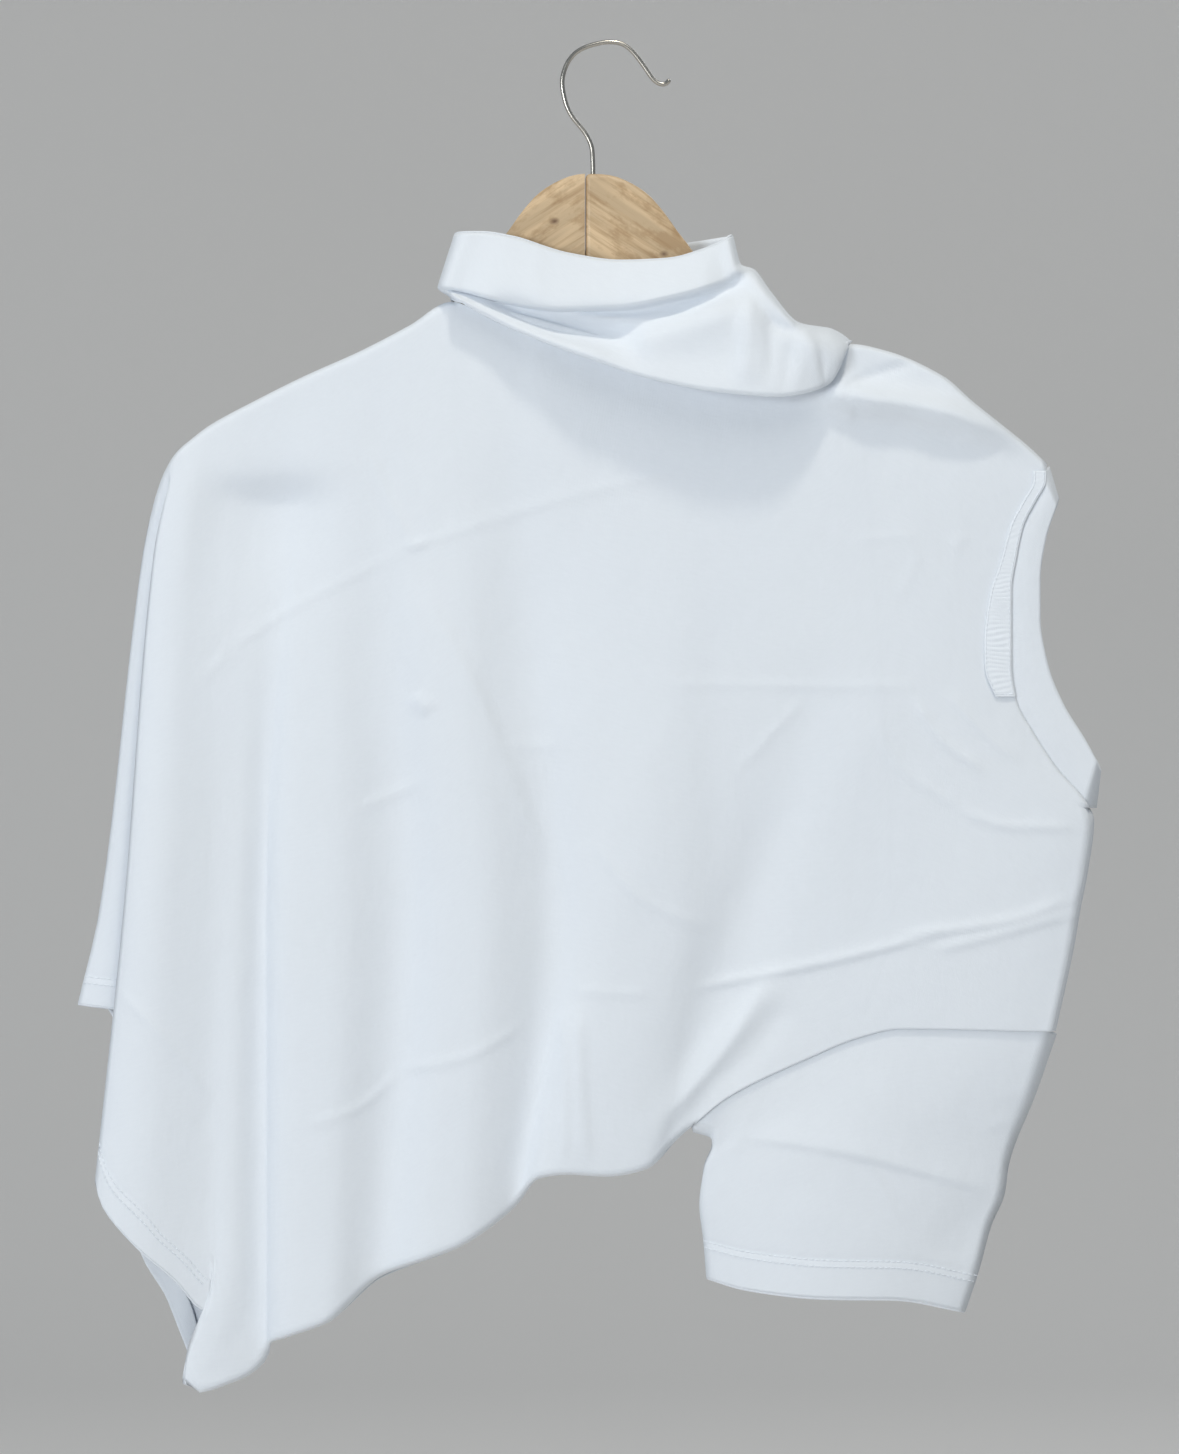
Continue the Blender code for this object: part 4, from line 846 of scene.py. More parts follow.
# %% One stitch, many times
STITCH_LENGTH = 2.3
STITCH_PITCH = 3.0
STITCH_RADIUS = 0.26
STITCH_SPAN = 0.4       # share of the pitch to each side over which a stitch takes its direction


def one_stitch():
    """A capsule along X, from a low sphere whose middle is drawn out."""
    bpy.ops.mesh.primitive_uv_sphere_add(segments=8, ring_count=6, radius=STITCH_RADIUS * MM,
                                         rotation=(0, math.radians(90), 0))
    stitch = bpy.context.object
    bpy.ops.object.transform_apply(rotation=True)
    points = np.array([v.co for v in stitch.data.vertices])
    points[:, 0] += np.sign(points[:, 0].round(7)) * (STITCH_LENGTH / 2 - STITCH_RADIUS) * MM
    faces = [tuple(face.vertices) for face in stitch.data.polygons]
    bpy.data.objects.remove(stitch, do_unlink=True)
    return points, faces


STITCH_POINTS, STITCH_FACES = one_stitch()


def sew(name, rows, pitch=STITCH_PITCH):
    """Stitches along rows of (path, outward) pairs, joined to one piece."""
    verts, faces = [], []
    for path, outward in rows:
        far = lengths(path)
        for place in np.arange(pitch / 2, far[-1] - pitch / 2, pitch):
            ends = [np.array([np.interp(s, far, axis) for axis in path.T])
                    for s in (place - pitch * STITCH_SPAN, place + pitch * STITCH_SPAN)]
            up = np.array([np.interp(place, far, axis) for axis in outward.T])
            run = ends[1] - ends[0]
            run = run / max(np.linalg.norm(run), 1e-9)
            up = up - (up @ run) * run
            up = up / max(np.linalg.norm(up), 1e-9)
            turn = np.stack((run, np.cross(up, run), up))
            start = len(verts)
            verts.extend((STITCH_POINTS @ turn + (ends[0] + ends[1]) / 2 * MM).tolist())
            faces.extend([tuple(i + start for i in face) for face in STITCH_FACES])
    mesh = bpy.data.meshes.new(name)
    mesh.from_pydata(verts, [], faces)
    mesh.shade_smooth()
    mesh.materials.append(thread)
    piece = bpy.data.objects.new(name, mesh)
    bpy.context.scene.collection.objects.link(piece)
    print(name, len(faces) // len(STITCH_FACES), "stitches")
    return piece


def normals(grid, closed=False):
    """Unit normals of a grid."""
    if closed:
        across = np.roll(grid, -1, axis=0) - np.roll(grid, 1, axis=0)
    else:
        across = np.gradient(grid, axis=0)
    made = np.cross(np.gradient(grid, axis=1), across)
    return made / np.maximum(np.linalg.norm(made, axis=2), 1e-9)[..., None]


def contour(grid, away, depth, outward, lift):
    """The line on a grid where away equals depth, one point a column, moved out by lift."""
    path, ups = [], []
    for points, column, directions in zip(grid[:, ::-1], away[:, ::-1], outward[:, ::-1]):
        beyond = np.flatnonzero(column >= depth)
        if len(beyond) == 0 or beyond[0] == 0:
            continue
        k = beyond[0]
        t = (depth - column[k - 1]) / max(column[k] - column[k - 1], 1e-9)
        path.append(points[k - 1] * (1 - t) + points[k] * t + directions[k] * lift)
        ups.append(directions[k])
    return np.array(path), np.array(ups)


# %% [markdown]
# The hem's band can be raised in the panel itself, because it follows the edge at one distance.
# Where the two panels are sewn to each other the cloth is pinched flat and stays as it is.

# %% Back and front with their hems
PINCHED = 0.2           # cloth no further than this from its seam's depth is left flat


def facing(grid, side):
    """Normals of a grid that all point to the side given, -1 near and +1 far."""
    made = normals(grid)
    return made * (np.sign(made[..., 1:2] * side) + (made[..., 1:2] == 0))


def hemmed(grid, info, side):
    """A panel's grid with its hem band raised and grooved, and the distance to its hem."""
    away = edge_distance(grid, grid[info["hem"], -1])
    grid = grid.copy()
    grid[..., 1] += side * hem_relief(away, HEM_DEPTH) * (np.abs(grid[..., 1]) > SEAM_HALF + PINCHED)
    return grid, away


near, near_hem_away = hemmed(near, near_info, -1)
far, far_hem_away = hemmed(far, far_info, 1)
back = cloth("back_cloth", near, JERSEY_WALL, white_jersey)
front = cloth("front_cloth", far, JERSEY_WALL, white_jersey)

# %% [markdown]
# ## Upper sleeve
#
# The sleeve that the hook comes out of has slid together into a heavy swag. Each row of its table
# is one section across it, from the rim at the hook down to the armhole: nine points of x and z,
# of which the first and the last lie on the sleeve's two folds, the depth of the seven between
# them, and how far the plain far side sags.

# %% Sections of the upper sleeve
SLEEVE_A = (
    ("rim",        ((-74, -96), (-60, -96), (-44, -98.5), (-16, -107), (10, -110.5), (34, -109.5),
                    (50, -105.5), (61, -101), (67.5, -97)), (10, 11.5, 12, 12, 12, 11, 9), 8.0),
    ("hem line",   ((-82.5, -123), (-71, -124.5), (-50, -130), (-20, -134.5), (8, -133.5), (34, -129),
                    (52, -124), (65, -118), (72, -112)), (15, 21, 23.5, 23.5, 23.5, 21.5, 15.5), 6.0),
    ("tuck",       ((-81.5, -124.5), (-70, -126.5), (-49, -132), (-19, -136.5), (10, -136), (36, -132),
                    (56, -127), (70, -121), (78, -114)), (12, 15, 16, 16, 16, 15, 12), 7.0),
    ("face",       ((-79, -126), (-67, -130), (-42, -138), (-6, -147), (20, -150), (46, -146),
                    (68, -138), (80, -131), (88, -127)), (15, 19, 20.5, 22.5, 25, 26, 21), 5.0),
    ("puff",       ((-78, -126.6), (-64, -132.2), (-41, -141.5), (-6, -153), (24, -160), (54, -161.5),
                    (80, -158), (97, -151), (101.7, -141.5)), (17, 21, 24, 26.5, 28.5, 29, 25), 4.8),
    ("ridge",      ((-77.5, -127), (-62, -135.2), (-40, -145.9), (-4, -160), (28, -170.4), (61, -176.4),
                    (89, -178.4), (114, -171.5), (118, -144.5)), (19, 24, 28, 31, 33, 32, 24), 4.5),
    ("lower edge", ((-76.5, -127.8), (-61, -137), (-39, -147.5), (-3, -161.5), (30, -172), (62, -178),
                    (90, -180), (116, -173), (125, -148.5)), (17, 22, 26, 29, 31, 30, 22), 4.5),
    ("inside",     ((-76, -128.6), (-60, -135.5), (-38, -145.5), (0, -158), (32, -168), (62, -174),
                    (92, -176), (117, -170), (127.5, -150.5)), (14, 17, 20, 22, 23, 22, 17), 4.5),
)
SECTION_ROWS = (3, 3, 4, 5, 3, 8, 8, 9, 4, 16)    # grid rows from each section to the next, upwards
SLEEVE_A_LEFT = (-76.0, 0.0, -129.4)            # where the sleeve meets underarm A
SLEEVE_A_RIGHT = (128.6, 0.0, -150.4)           # and shoulder point A
SLEEVE_A_FAR_DEPTH = 12.5       # of its plain far side
ARMHOLE_GAP = 0.4       # from the panels' edge up to the sleeve
SWAG_START = 2.6        # section at which the creases begin
SWAG_EASE = 1.2         # and over how many sections they grow
CREASED_DEPTH = 8.0     # they fade out where the sleeve is flatter than this
TUCK_RISE = (1.3, 2.2)      # the tuck behind the swag: height of its two sections at its ends
TUCK_FULL_RISE = (2.6, 4.0)     # and along its middle
TUCK_FULL_DEPTH = 2.5
TUCK_FADE = 0.12            # share of the armhole over which it fades out
LEFT_TURN = 10.0            # radius of the sleeve's left fold
RIGHT_TURN = 13.0           # and of its right one
SLEEVE_A_CREASES = (
    (-23, -134,  28, -138,  78, -121, -2.2,  3.5,  3.5, 1.5),
    ( 30, -139,  48, -134,  66, -128, -1.0,  2.5,  2.5, 1.4),
    (-60, -130, -20, -144,  24, -148, -7.5,  6.5,  8.5, 2.0),
    (-62, -134, -25, -150,  12, -163,  2.0,  3.5,  4.0, 1.6),
    (-24, -137,  30, -141,  68, -122,  1.8,  1.8,  1.8, 1.6),
    ( 88, -149, 104, -152, 119, -154,  1.8,  2.0,  7.0, 1.6),
    ( 14, -156,  44, -143,  68, -131,  3.6,  4.5, 12.0, 1.8),
    ( 77, -122,  74, -150,  72, -178,  2.8,  8.0,  3.5, 1.5),
    ( 84, -134,  86, -152,  85, -174, -1.2,  2.4,  2.4, 1.6),
    ( 97, -161, 104, -162, 112, -161,  3.6, 12.0, 12.0, 2.0),
    ( 84, -141,  93, -146, 104, -147, -2.2,  4.0,  2.4, 1.6),
    (124, -152, 121, -162, 113, -178, -0.8,  2.0,  2.0, 1.4),
    (-55, -128, -20, -146,  10, -164,  0.9,  5.0,  8.0, 1.5),
    (-30, -101, -33, -116, -30, -131,  0.7,  3.0,  3.0, 1.5),
    ( 16, -112,  14, -122,  18, -132,  0.6,  4.0,  3.0, 1.5),
)


def sleeve_a_section(points, depths, far_sag, near_share, far_share):
    """One closed section of the upper sleeve: its near side, then its far side."""
    points = np.array(points, float)
    stops = np.linspace(0, 1, len(points))
    x, z = smooth(stops, points[:, 0], near_share), smooth(stops, points[:, 1], near_share)
    d = smooth(stops, (depths[0],) + depths + (depths[-1],), near_share)
    across = points[-1, 0] - points[0, 0]
    d = d * rounding(near_share * across, LEFT_TURN) * rounding((1 - near_share) * across, RIGHT_TURN)
    near_part = np.stack((x, -d, z), axis=-1)
    far_x = points[-1, 0] - far_share * across
    far_z = points[-1, 1] + far_share * (points[0, 1] - points[-1, 1])
    far_z = far_z - far_sag * np.sin(math.pi * far_share)
    far_y = SLEEVE_A_FAR_DEPTH * rounding(np.minimum(far_share, 1 - far_share) * across, ROLL)
    return np.vstack((near_part, np.stack((far_x, far_y, far_z), axis=-1)))


def upper_sleeve():
    """Closed grid [column, row] from the armhole up to the rim, and the number of near columns."""
    edges = []
    for grid, info in ((near, near_info), (far, far_info)):
        open_part = (info["top_x"] > UNDERARM_A + 1) & (info["top_x"] < SHOULDER_A - 1)
        edges.append(grid[open_part, 0] + np.array((0, 0, ARMHOLE_GAP)))
    armhole = np.vstack((SLEEVE_A_LEFT, edges[0], SLEEVE_A_RIGHT, edges[1][::-1]))
    count = len(edges[0]) + 2
    near_share = lengths(armhole[:count, (0, 2)])
    near_share = near_share / near_share[-1]
    far_x = np.concatenate((armhole[count - 1:, 0], armhole[:1, 0]))
    far_share = ((far_x[0] - far_x) / (far_x[0] - far_x[-1]))[1:-1]
    body = [sleeve_a_section(points, depths, sag, near_share, far_share)
            for _, points, depths, sag in reversed(SLEEVE_A)]

    lip, turn = (armhole + (body[0] - armhole) * k / 3 for k in (1, 2))
    swag = slice(1, count - 1)
    full = np.clip(np.minimum(near_share, 1 - near_share) / TUCK_FADE, 0, 1)[swag]
    for section, low, high in zip((lip, turn), TUCK_RISE, TUCK_FULL_RISE):
        section[swag] = armhole[swag]
        section[swag, 2] += low + full * (high - low)
    turn[swag, 1] -= full * TUCK_FULL_DEPTH
    sections = np.array([armhole, lip, turn] + body)

    rows = np.concatenate([k + np.arange(n) / n for k, n in enumerate(SECTION_ROWS)]
                          + [[len(sections) - 1]])
    knots = np.arange(len(sections))
    grid = np.stack([np.stack([smooth(knots, sections[:, c, axis], rows) for axis in range(3)], axis=-1)
                     for c in range(sections.shape[1])])
    swag_rows = ease((rows - SWAG_START) / SWAG_EASE)
    front = grid[:count]
    front[..., 1] -= (creases(front[..., 0], front[..., 2], SLEEVE_A_CREASES)
                      * swag_rows * np.minimum(1, -front[..., 1] / CREASED_DEPTH))
    return grid, count


upper, upper_near = upper_sleeve()
sleeve_a = cloth("upper_sleeve_cloth", upper, JERSEY_WALL, white_jersey, closed=True)

# %% [markdown]
# ## Lower sleeve
#
# This sleeve hangs straight down from its armhole. Between the armhole, the hem and its two folds
# it is a patch that blends the four edges, a little fuller left of the middle.

# %% Lower sleeve
SLEEVE_B = {            # (x, z) along its two folds and its hem
    "left": ((47.5, -553.5), (57, -557), (58, -563), (53, -575), (51, -591), (53, -609), (54.5, -628)),
    "right": ((232.6, -503.6), (222, -534), (208, -571), (206, -585), (199, -602), (193, -624),
              (186, -645)),
    "hem": ((54.5, -628), (74, -633), (112, -637), (150, -638), (186, -645)),
}
SLEEVE_B_DEPTH = 15.0   # of each side, at its fullest
BELLY_LEAN = 0.8        # under 1 it is fullest left of the middle
BELLY_FULLNESS = 0.6    # the smaller, the more evenly full it is from fold to fold
CREASE_FULLNESS = 0.3   # the same for its creases
SLEEVE_B_ROWS = 96
BESIDE_FOLD = 3.0       # the hem's band fades out where the sleeve is flatter than this
SETTLE = 0.5            # share of its length over which it leaves the armhole's depth
SLEEVE_B_REACH = 226.5  # the sleeve is sewn to the armhole's columns up to this x
UNDER_BODY = 0.9        # the sleeve's edge lies this far behind the body's edge
LEAST_DEPTH = 0.2       # but no nearer to the middle plane than this
SLEEVE_B_TUCK = 1.6     # and reaches this far up behind it
SLEEVE_B_CREASES = (
    ( 54, -553, 118, -562, 208, -586,  1.3,  8.0,  2.4, 1.5),
    (128, -553, 140, -575, 154, -604,  0.6,  2.6,  2.6, 1.5),
    ( 78, -536,  73, -550,  66, -566,  0.9,  3.0,  3.0, 1.5),
    (176, -605, 184, -614, 196, -624,  0.5,  2.6,  3.0, 1.5),
    ( 90, -590, 120, -600, 150, -612,  0.4,  8.0, 10.0, 2.0),
    (226, -536, 214, -533, 200, -536,  0.8,  3.0,  3.0, 1.5),
    (222, -552, 208, -548, 194, -552,  0.7,  3.0,  3.0, 1.5),
    (212, -588, 190, -600, 176, -622, -1.6, 12.0, 12.0, 2.0),
)


def sleeve_b_half(top, side):
    """One side of the lower sleeve: a patch between armhole, hem and the two folds."""
    s = lengths(top[:, (0, 2)])
    s = s / s[-1]
    t = np.linspace(0, 1, SLEEVE_B_ROWS)
    hem, left, right = (along(SLEEVE_B[name], at) for name, at in (("hem", s), ("left", t), ("right", t)))
    s3, t3 = s[:, None, None], t[None, :, None]
    armhole = top[:, (0, 2)]
    flat = ((1 - t3) * armhole[:, None] + t3 * hem[:, None] + (1 - s3) * left[None] + s3 * right[None]
            - (1 - s3) * (1 - t3) * armhole[0] - s3 * (1 - t3) * armhole[-1]
            - (1 - s3) * t3 * hem[0] - s3 * t3 * hem[-1])
    belly = np.clip(np.sin(math.pi * s ** BELLY_LEAN), 0, 1) ** BELLY_FULLNESS
    own = SLEEVE_B_DEPTH * belly[:, None] + np.zeros(len(t))
    if side < 0:
        ends = np.clip(np.sin(math.pi * s), 0, 1)[:, None] ** CREASE_FULLNESS
        own = ends * (own + creases(flat[..., 0], flat[..., 1], SLEEVE_B_CREASES))
    settle = ease(t / SETTLE)[None]
    depth = np.abs(top[:, 1])[:, None] * (1 - settle) + own * settle
    depth[0] = depth[-1] = 0
    return np.stack((flat[..., 0], side * depth, flat[..., 1]), axis=-1)


def lower_sleeve():
    """Closed grid [column, row] from the armhole down to the hem, and the number of near columns."""
    halves = []
    for grid, info, side in ((near, near_info, -1), (far, far_info, 1)):
        sewn = info["armhole"] & (grid[:, -1, 0] < SLEEVE_B_REACH)
        edge = grid[sewn, -1]
        edge[:, 1] = side * np.maximum(np.abs(edge[:, 1]) - UNDER_BODY, LEAST_DEPTH)
        run = np.gradient(edge[:, (0, 2)], axis=0)
        run = run / np.linalg.norm(run, axis=1)[:, None]
        edge[:, 0] -= SLEEVE_B_TUCK * run[:, 1]
        edge[:, 2] += SLEEVE_B_TUCK * run[:, 0]
        first, last = ((x, 0.0, z) for x, z in (SLEEVE_B["left"][0], SLEEVE_B["right"][0]))
        halves.append(sleeve_b_half(np.vstack((first, edge, last)), side))
    return np.vstack((halves[0], halves[1][-2:0:-1])), len(halves[0])


lower, lower_near = lower_sleeve()
lower_away = edge_distance(lower, lower[:, -1])
lower[..., 1] += (hem_relief(lower_away, CUFF_DEPTH) * np.sign(lower[..., 1])
                  * np.minimum(1, np.abs(lower[..., 1]) / BESIDE_FOLD))
sleeve_b = cloth("lower_sleeve_cloth", lower, JERSEY_WALL, white_jersey, closed=True)

# %% [markdown]
# ## Neckband and tape
#
# The neckband is a strip of ribbed knit, folded double and sewn on stretched, so that it lies flat
# round the neck. It could be swept along the neckline. Here its two edges are drawn, and straight
# lines between them give the band, because it is wider at the back of the neck than at the sides.

# %% Neckband
RIB_EDGE = {            # (x, z) along the band's free edge
    "near": ((233.5, -231), (226.5, -253), (224, -272), (224, -292), (228, -316), (236, -336),
             (247, -354), (255, -369)),
    "far": ((233.5, -231), (205, -249), (180, -270), (167, -298), (172, -330), (196, -352),
            (228, -366), (255, -369)),
}
RIB_A = (228.6, 0.0, -214.6)    # ends of the neckband's seam, beside the two neck points
RIB_B = (252.6, 0.0, -388.5)
RIB_START = 5.0         # the band's seam begins this far below neck point A
RIB_ROWS = 13
RIB_BOW = 1.1           # how much deeper the rib's middle stands than its seam
RIB_UNDER = 1.1         # the rib's seam lies this far behind the body's edge
RIB_TUCK = 2.6          # and reaches this far under it


def neck_rib():
    """Closed grid [column, row] from the seam out to the band's free edge, all round the neck."""
    halves = []
    for grid, name in ((near, "near"), (far, "far")):
        edge = grid[-1]
        beside_neck = (edge[:, 2] > NECK_POINT_B) & (edge[:, 2] < RIGHT_EDGE["z"][0] - RIB_START)
        seam = np.vstack((RIB_A, edge[beside_neck] - np.array((RIB_TUCK, 0, 0)), RIB_B))
        seam[1:-1, 1] -= np.sign(seam[1:-1, 1]) * RIB_UNDER
        share = lengths(seam[:, (0, 2)])
        free = along(RIB_EDGE[name], share / share[-1])
        free = np.stack((free[:, 0], seam[:, 1] * (1 + RIB_BOW) / 2, free[:, 1]), axis=-1)
        across = np.linspace(0, 1, RIB_ROWS)[:, None, None]
        rows = seam * (1 - across) + free * across
        rows[..., 1] *= 1 + (RIB_BOW - 1) * np.sin(math.pi * across[..., 0])
        halves.append(rows.transpose(1, 0, 2))
    return np.vstack((halves[0], halves[1][-2:0:-1]))


rib = neck_rib()
neckband = cloth("neckband", rib, RIB_WALL, white_rib, closed=True)

# %% [markdown]
# A narrow tape covers the neck's seam on the back. It is a strip of the panel's own surface, moved
# out by its thickness, so it follows every fold under it. Its stitches were pulled too tight, and
# that leaves fine puckers across it.

# %% Tape beside the neckband
TAPE_TOP_Z = -217.0
TAPE_END_Z = -332.0
TAPE_WALL = 0.7
TAPE_COLUMNS = 18
TAPE_ROWS = 170
TAPE_RIGHT = 0.3        # its inset from the body's edge
TAPE_LEFT = {"z": (-217, -242, -254, -267, -280, -293, -305, -318, -332),     # and its width
             "width": (6.8, 7.0, 7.4, 8.6, 11.5, 13.5, 14.4, 14.0, 10.5)}
TAPE_CLEAR = 0.15       # between the panel's face and the tape
NECK_COLUMNS = 50       # of the panel, counted from its right edge, that lie under the tape
PUCKER_PITCH = 2.2
PUCKER = 0.2            # half the height of a pucker
PUCKER_LEAST = 0.35     # share of that height at the tape's upper end
PUCKER_START = -255.0   # the puckers grow from this height down
PUCKER_RUN = 30.0       # over this length


def strip_beside_neck():
    """A strip of the near panel's own surface beside the neck edge, moved out to the tape's middle."""
    heights = np.linspace(TAPE_TOP_Z, TAPE_END_Z, TAPE_ROWS)
    edge_x = np.interp(-heights, -near[-1, :, 2], near[-1, :, 0])
    width = smooth(-np.array(TAPE_LEFT["z"]), TAPE_LEFT["width"], -heights)
    beside = np.stack([np.stack([np.interp(-heights, -column[:, 2], column[:, axis])
                                 for axis in range(2)], axis=-1) for column in near[-NECK_COLUMNS:]])
    lift = (JERSEY_WALL + TAPE_WALL) / 2 + TAPE_CLEAR
    strip = np.empty((TAPE_COLUMNS, TAPE_ROWS, 3))
    for r, height in enumerate(heights):
        x = edge_x[r] + np.linspace(-width[r], -TAPE_RIGHT, TAPE_COLUMNS)
        strip[:, r, 0] = x
        strip[:, r, 1] = np.interp(x, beside[:, r, 0], beside[:, r, 1]) - lift
        strip[:, r, 2] = height
    return strip


def puckered(strip):
    """The strip with fine ridges across it; two slow waves keep their spacing uneven."""
    z = strip[..., 2]
    across = np.linspace(0, 1, TAPE_COLUMNS)[:, None]
    phase = z / PUCKER_PITCH + 0.7 * np.sin(z / 9.0) + 0.5 * np.sin(z / 4.1 + across * 2.0)
    growing = PUCKER_LEAST + (1 - PUCKER_LEAST) * ease((PUCKER_START - z) / PUCKER_RUN)
    strip[..., 1] -= PUCKER * growing * (1 + np.sin(2 * math.pi * phase)) * np.sin(math.pi * across) ** 0.5
    return strip


tape_grid = puckered(strip_beside_neck())
tape = cloth("neck_tape_strip", tape_grid, TAPE_WALL, white_tape)

# %% [markdown]
# ## Hanger
#
# Each wooden half is a flat board: its outline is drawn as a curve, filled and extruded, and a
# bevel eases its edges. The hook is bent from one wire and goes into a hole in the right half.

# %% Wooden halves
CENTRE_X = -3.6         # upright line through the hook's shank
ARM_THICKNESS = 12.0
ARM_EASING = 2.5
JOINT_X = -7.6          # where the two wooden halves meet
JOINT_GAP = 0.3
# The upper and the lower edge of a half: how far out from CENTRE_X, and z.
ARM_TOP = ((0, -65.2), (9, -66.2), (17, -69), (27.3, -75.3), (36, -84.8), (43, -94.6),
           (50.5, -104.4), (59, -119), (73, -138), (93, -148.5), (118, -158.5), (147, -171.4),
           (173, -184.4), (194, -196.4), (203, -204), (207.5, -213))
ARM_BOTTOM = ((206.5, -221), (201, -226), (192, -227), (160, -213), (118, -192), (72, -166),
              (40, -145), (18, -132), (0, -127))
ARM_DIP = 0.3           # the outline's corners at the joint lie this far below the tables' ends
OUTLINE_POINTS = 64
WIRE = 2.4              # diameter of the hook's wire
SHANK_DEPTH = 24.0      # how far the wire goes into the wood
HOLE_CLEARANCE = 0.3    # round the wire
FLAT_FACE = 0.999       # a face that looks along Y more than this belongs to the board's flat sides


def arm_outline(side):
    """Outline of one wooden half: side is -1 for the left and +1 for the right one."""
    start = JOINT_X + side * JOINT_GAP / 2
    inner = abs(start - CENTRE_X) if side < 0 else 0
    made = []
    for rows in (ARM_TOP, ARM_BOTTOM):
        line = along(rows, np.linspace(0, 1, OUTLINE_POINTS))
        made += [(CENTRE_X + side * out, z) for out, z in line if out > inner]
    return [(start, ARM_TOP[0][1] - ARM_DIP)] + made + [(start, ARM_BOTTOM[-1][1] - ARM_DIP)]


def board(name, outline, material):
    """A filled curve, extruded, stood up and made a mesh; then its edges are eased."""
    curve = bpy.data.curves.new(name, "CURVE")
    curve.dimensions = "2D"
    curve.fill_mode = "BOTH"
    curve.extrude = ARM_THICKNESS / 2 * MM
    spline = curve.splines.new("POLY")
    spline.use_cyclic_u = True
    spline.points.add(len(outline) - 1)
    for point, (x, z) in zip(spline.points, outline):
        point.co = (x * MM, z * MM, 0, 1)
    piece = bpy.data.objects.new(name, curve)
    bpy.context.scene.collection.objects.link(piece)
    piece.rotation_euler = (math.radians(90), 0, 0)
    only(piece)
    bpy.ops.object.convert(target="MESH")
    bpy.ops.object.transform_apply(rotation=True)
    bpy.ops.object.mode_set(mode="EDIT")
    bpy.ops.mesh.select_all(action="SELECT")
    bpy.ops.mesh.remove_doubles(threshold=0.002 * MM)
    bpy.ops.mesh.dissolve_limited(angle_limit=math.radians(0.5))
    bpy.ops.mesh.normals_make_consistent(inside=False)
    bpy.ops.object.mode_set(mode="OBJECT")
    apply_modifier(piece, "BEVEL", width=ARM_EASING * MM, segments=4, limit_method="ANGLE",
                   angle_limit=math.radians(50))
    piece.data.materials.append(material)
    return piece


def flat_sides(piece):
    """Smooth shading on the eased edges only, so that the board's two faces stay flat."""
    for face in piece.data.polygons:
        face.use_smooth = abs(face.normal.y) < FLAT_FACE


left_board = board("left_wooden_half", arm_outline(-1), wood("pale_wood_left", -1))
right_board = board("right_wooden_half", arm_outline(1), wood("pale_wood_right", 1))

hole_depth = SHANK_DEPTH + 4 * WIRE
hole_bottom = ARM_TOP[0][1] - SHANK_DEPTH
bpy.ops.object.select_all(action="DESELECT")
bpy.ops.mesh.primitive_cylinder_add(vertices=32, radius=(WIRE / 2 + HOLE_CLEARANCE) * MM,
                                    depth=hole_depth * MM,
                                    location=(CENTRE_X * MM, 0, (hole_bottom + hole_depth / 2) * MM))
drill = bpy.context.object
apply_modifier(right_board, "BOOLEAN", operation="DIFFERENCE", solver="EXACT", object=drill)
bpy.data.objects.remove(drill, do_unlink=True)
for wooden_half in (left_board, right_board):
    flat_sides(wooden_half)
    print(wooden_half.name, len(wooden_half.data.polygons), "faces")

# %% [markdown]
# The hook is one wire, cut off and rounded at its tip and bent over a form. A curve with a round
# bevel is the shortest way to such a wire, and a few rounds of evening out take away the corners
# that a route of listed points leaves.

# %% Steel hook
# (x, z) along the middle of the wire, from the wood up and round to the tip.
HOOK_ROUTE = ((-3.6, -65.0), (-4.0, -53.0), (-7.0, -45.2), (-10.2, -41.0), (-14.6, -35.6),
              (-18.0, -27.6), (-19.4, -18.3), (-17.4, -10.1), (-12.2, -3.2), (-4.2, 0.5),
              (4.5, 2.1), (9.6, 1.7), (13.4, 0.0), (17.0, -3.2), (20.3, -7.4), (23.4, -11.8),
              (26.4, -16.2), (29.4, -19.0), (32.2, -19.9), (34.2, -19.5), (34.9, -17.9))
HOOK_POINTS = 150
HOOK_ROUNDS = 6         # of evening out
TIP_SHARE = 0.995       # radius of the rounded tip against the wire's, so that it hides in the wire


def steel_hook(material):
    """A wire along the route: a curve with a round bevel, and a rounded tip."""
    route = ((CENTRE_X, hole_bottom), (CENTRE_X, (hole_bottom + HOOK_ROUTE[0][1]) / 2)) + HOOK_ROUTE
    line = along(route, np.linspace(0, 1, HOOK_POINTS))
    for _ in range(HOOK_ROUNDS):
        line[1:-1] = (line[:-2] + 2 * line[1:-1] + line[2:]) / 4
    curve = bpy.data.curves.new("steel_hook", "CURVE")
    curve.dimensions = "3D"
    curve.bevel_depth = WIRE / 2 * MM
    curve.bevel_resolution = 5
    curve.use_fill_caps = True
    spline = curve.splines.new("POLY")
    spline.points.add(HOOK_POINTS - 1)
    for point, (x, z) in zip(spline.points, line):
        point.co = (x * MM, 0, z * MM, 1)
    hook = bpy.data.objects.new("steel_hook", curve)
    bpy.context.scene.collection.objects.link(hook)
    only(hook)
    bpy.ops.object.convert(target="MESH")
    bpy.ops.mesh.primitive_uv_sphere_add(segments=20, ring_count=12, radius=WIRE / 2 * MM * TIP_SHARE,
                                         location=(line[-1, 0] * MM, 0, line[-1, 1] * MM))
    hook.select_set(True)
    bpy.context.view_layer.objects.active = hook
    bpy.ops.object.join()
    hook.data.shade_smooth()
    hook.data.materials.append(material)
    print("steel_hook", len(hook.data.polygons), "faces")
    return hook


hook = steel_hook(plated_steel())

# %% [markdown]
# ## Hems
#
# Each free edge is folded in and sewn down, and where the cloth falls open the folded-in strip
# shows. It could be modelled by extruding the edge. A strip with its own grid keeps the knit's
# direction, and it can lie just inside the wall it is sewn to.

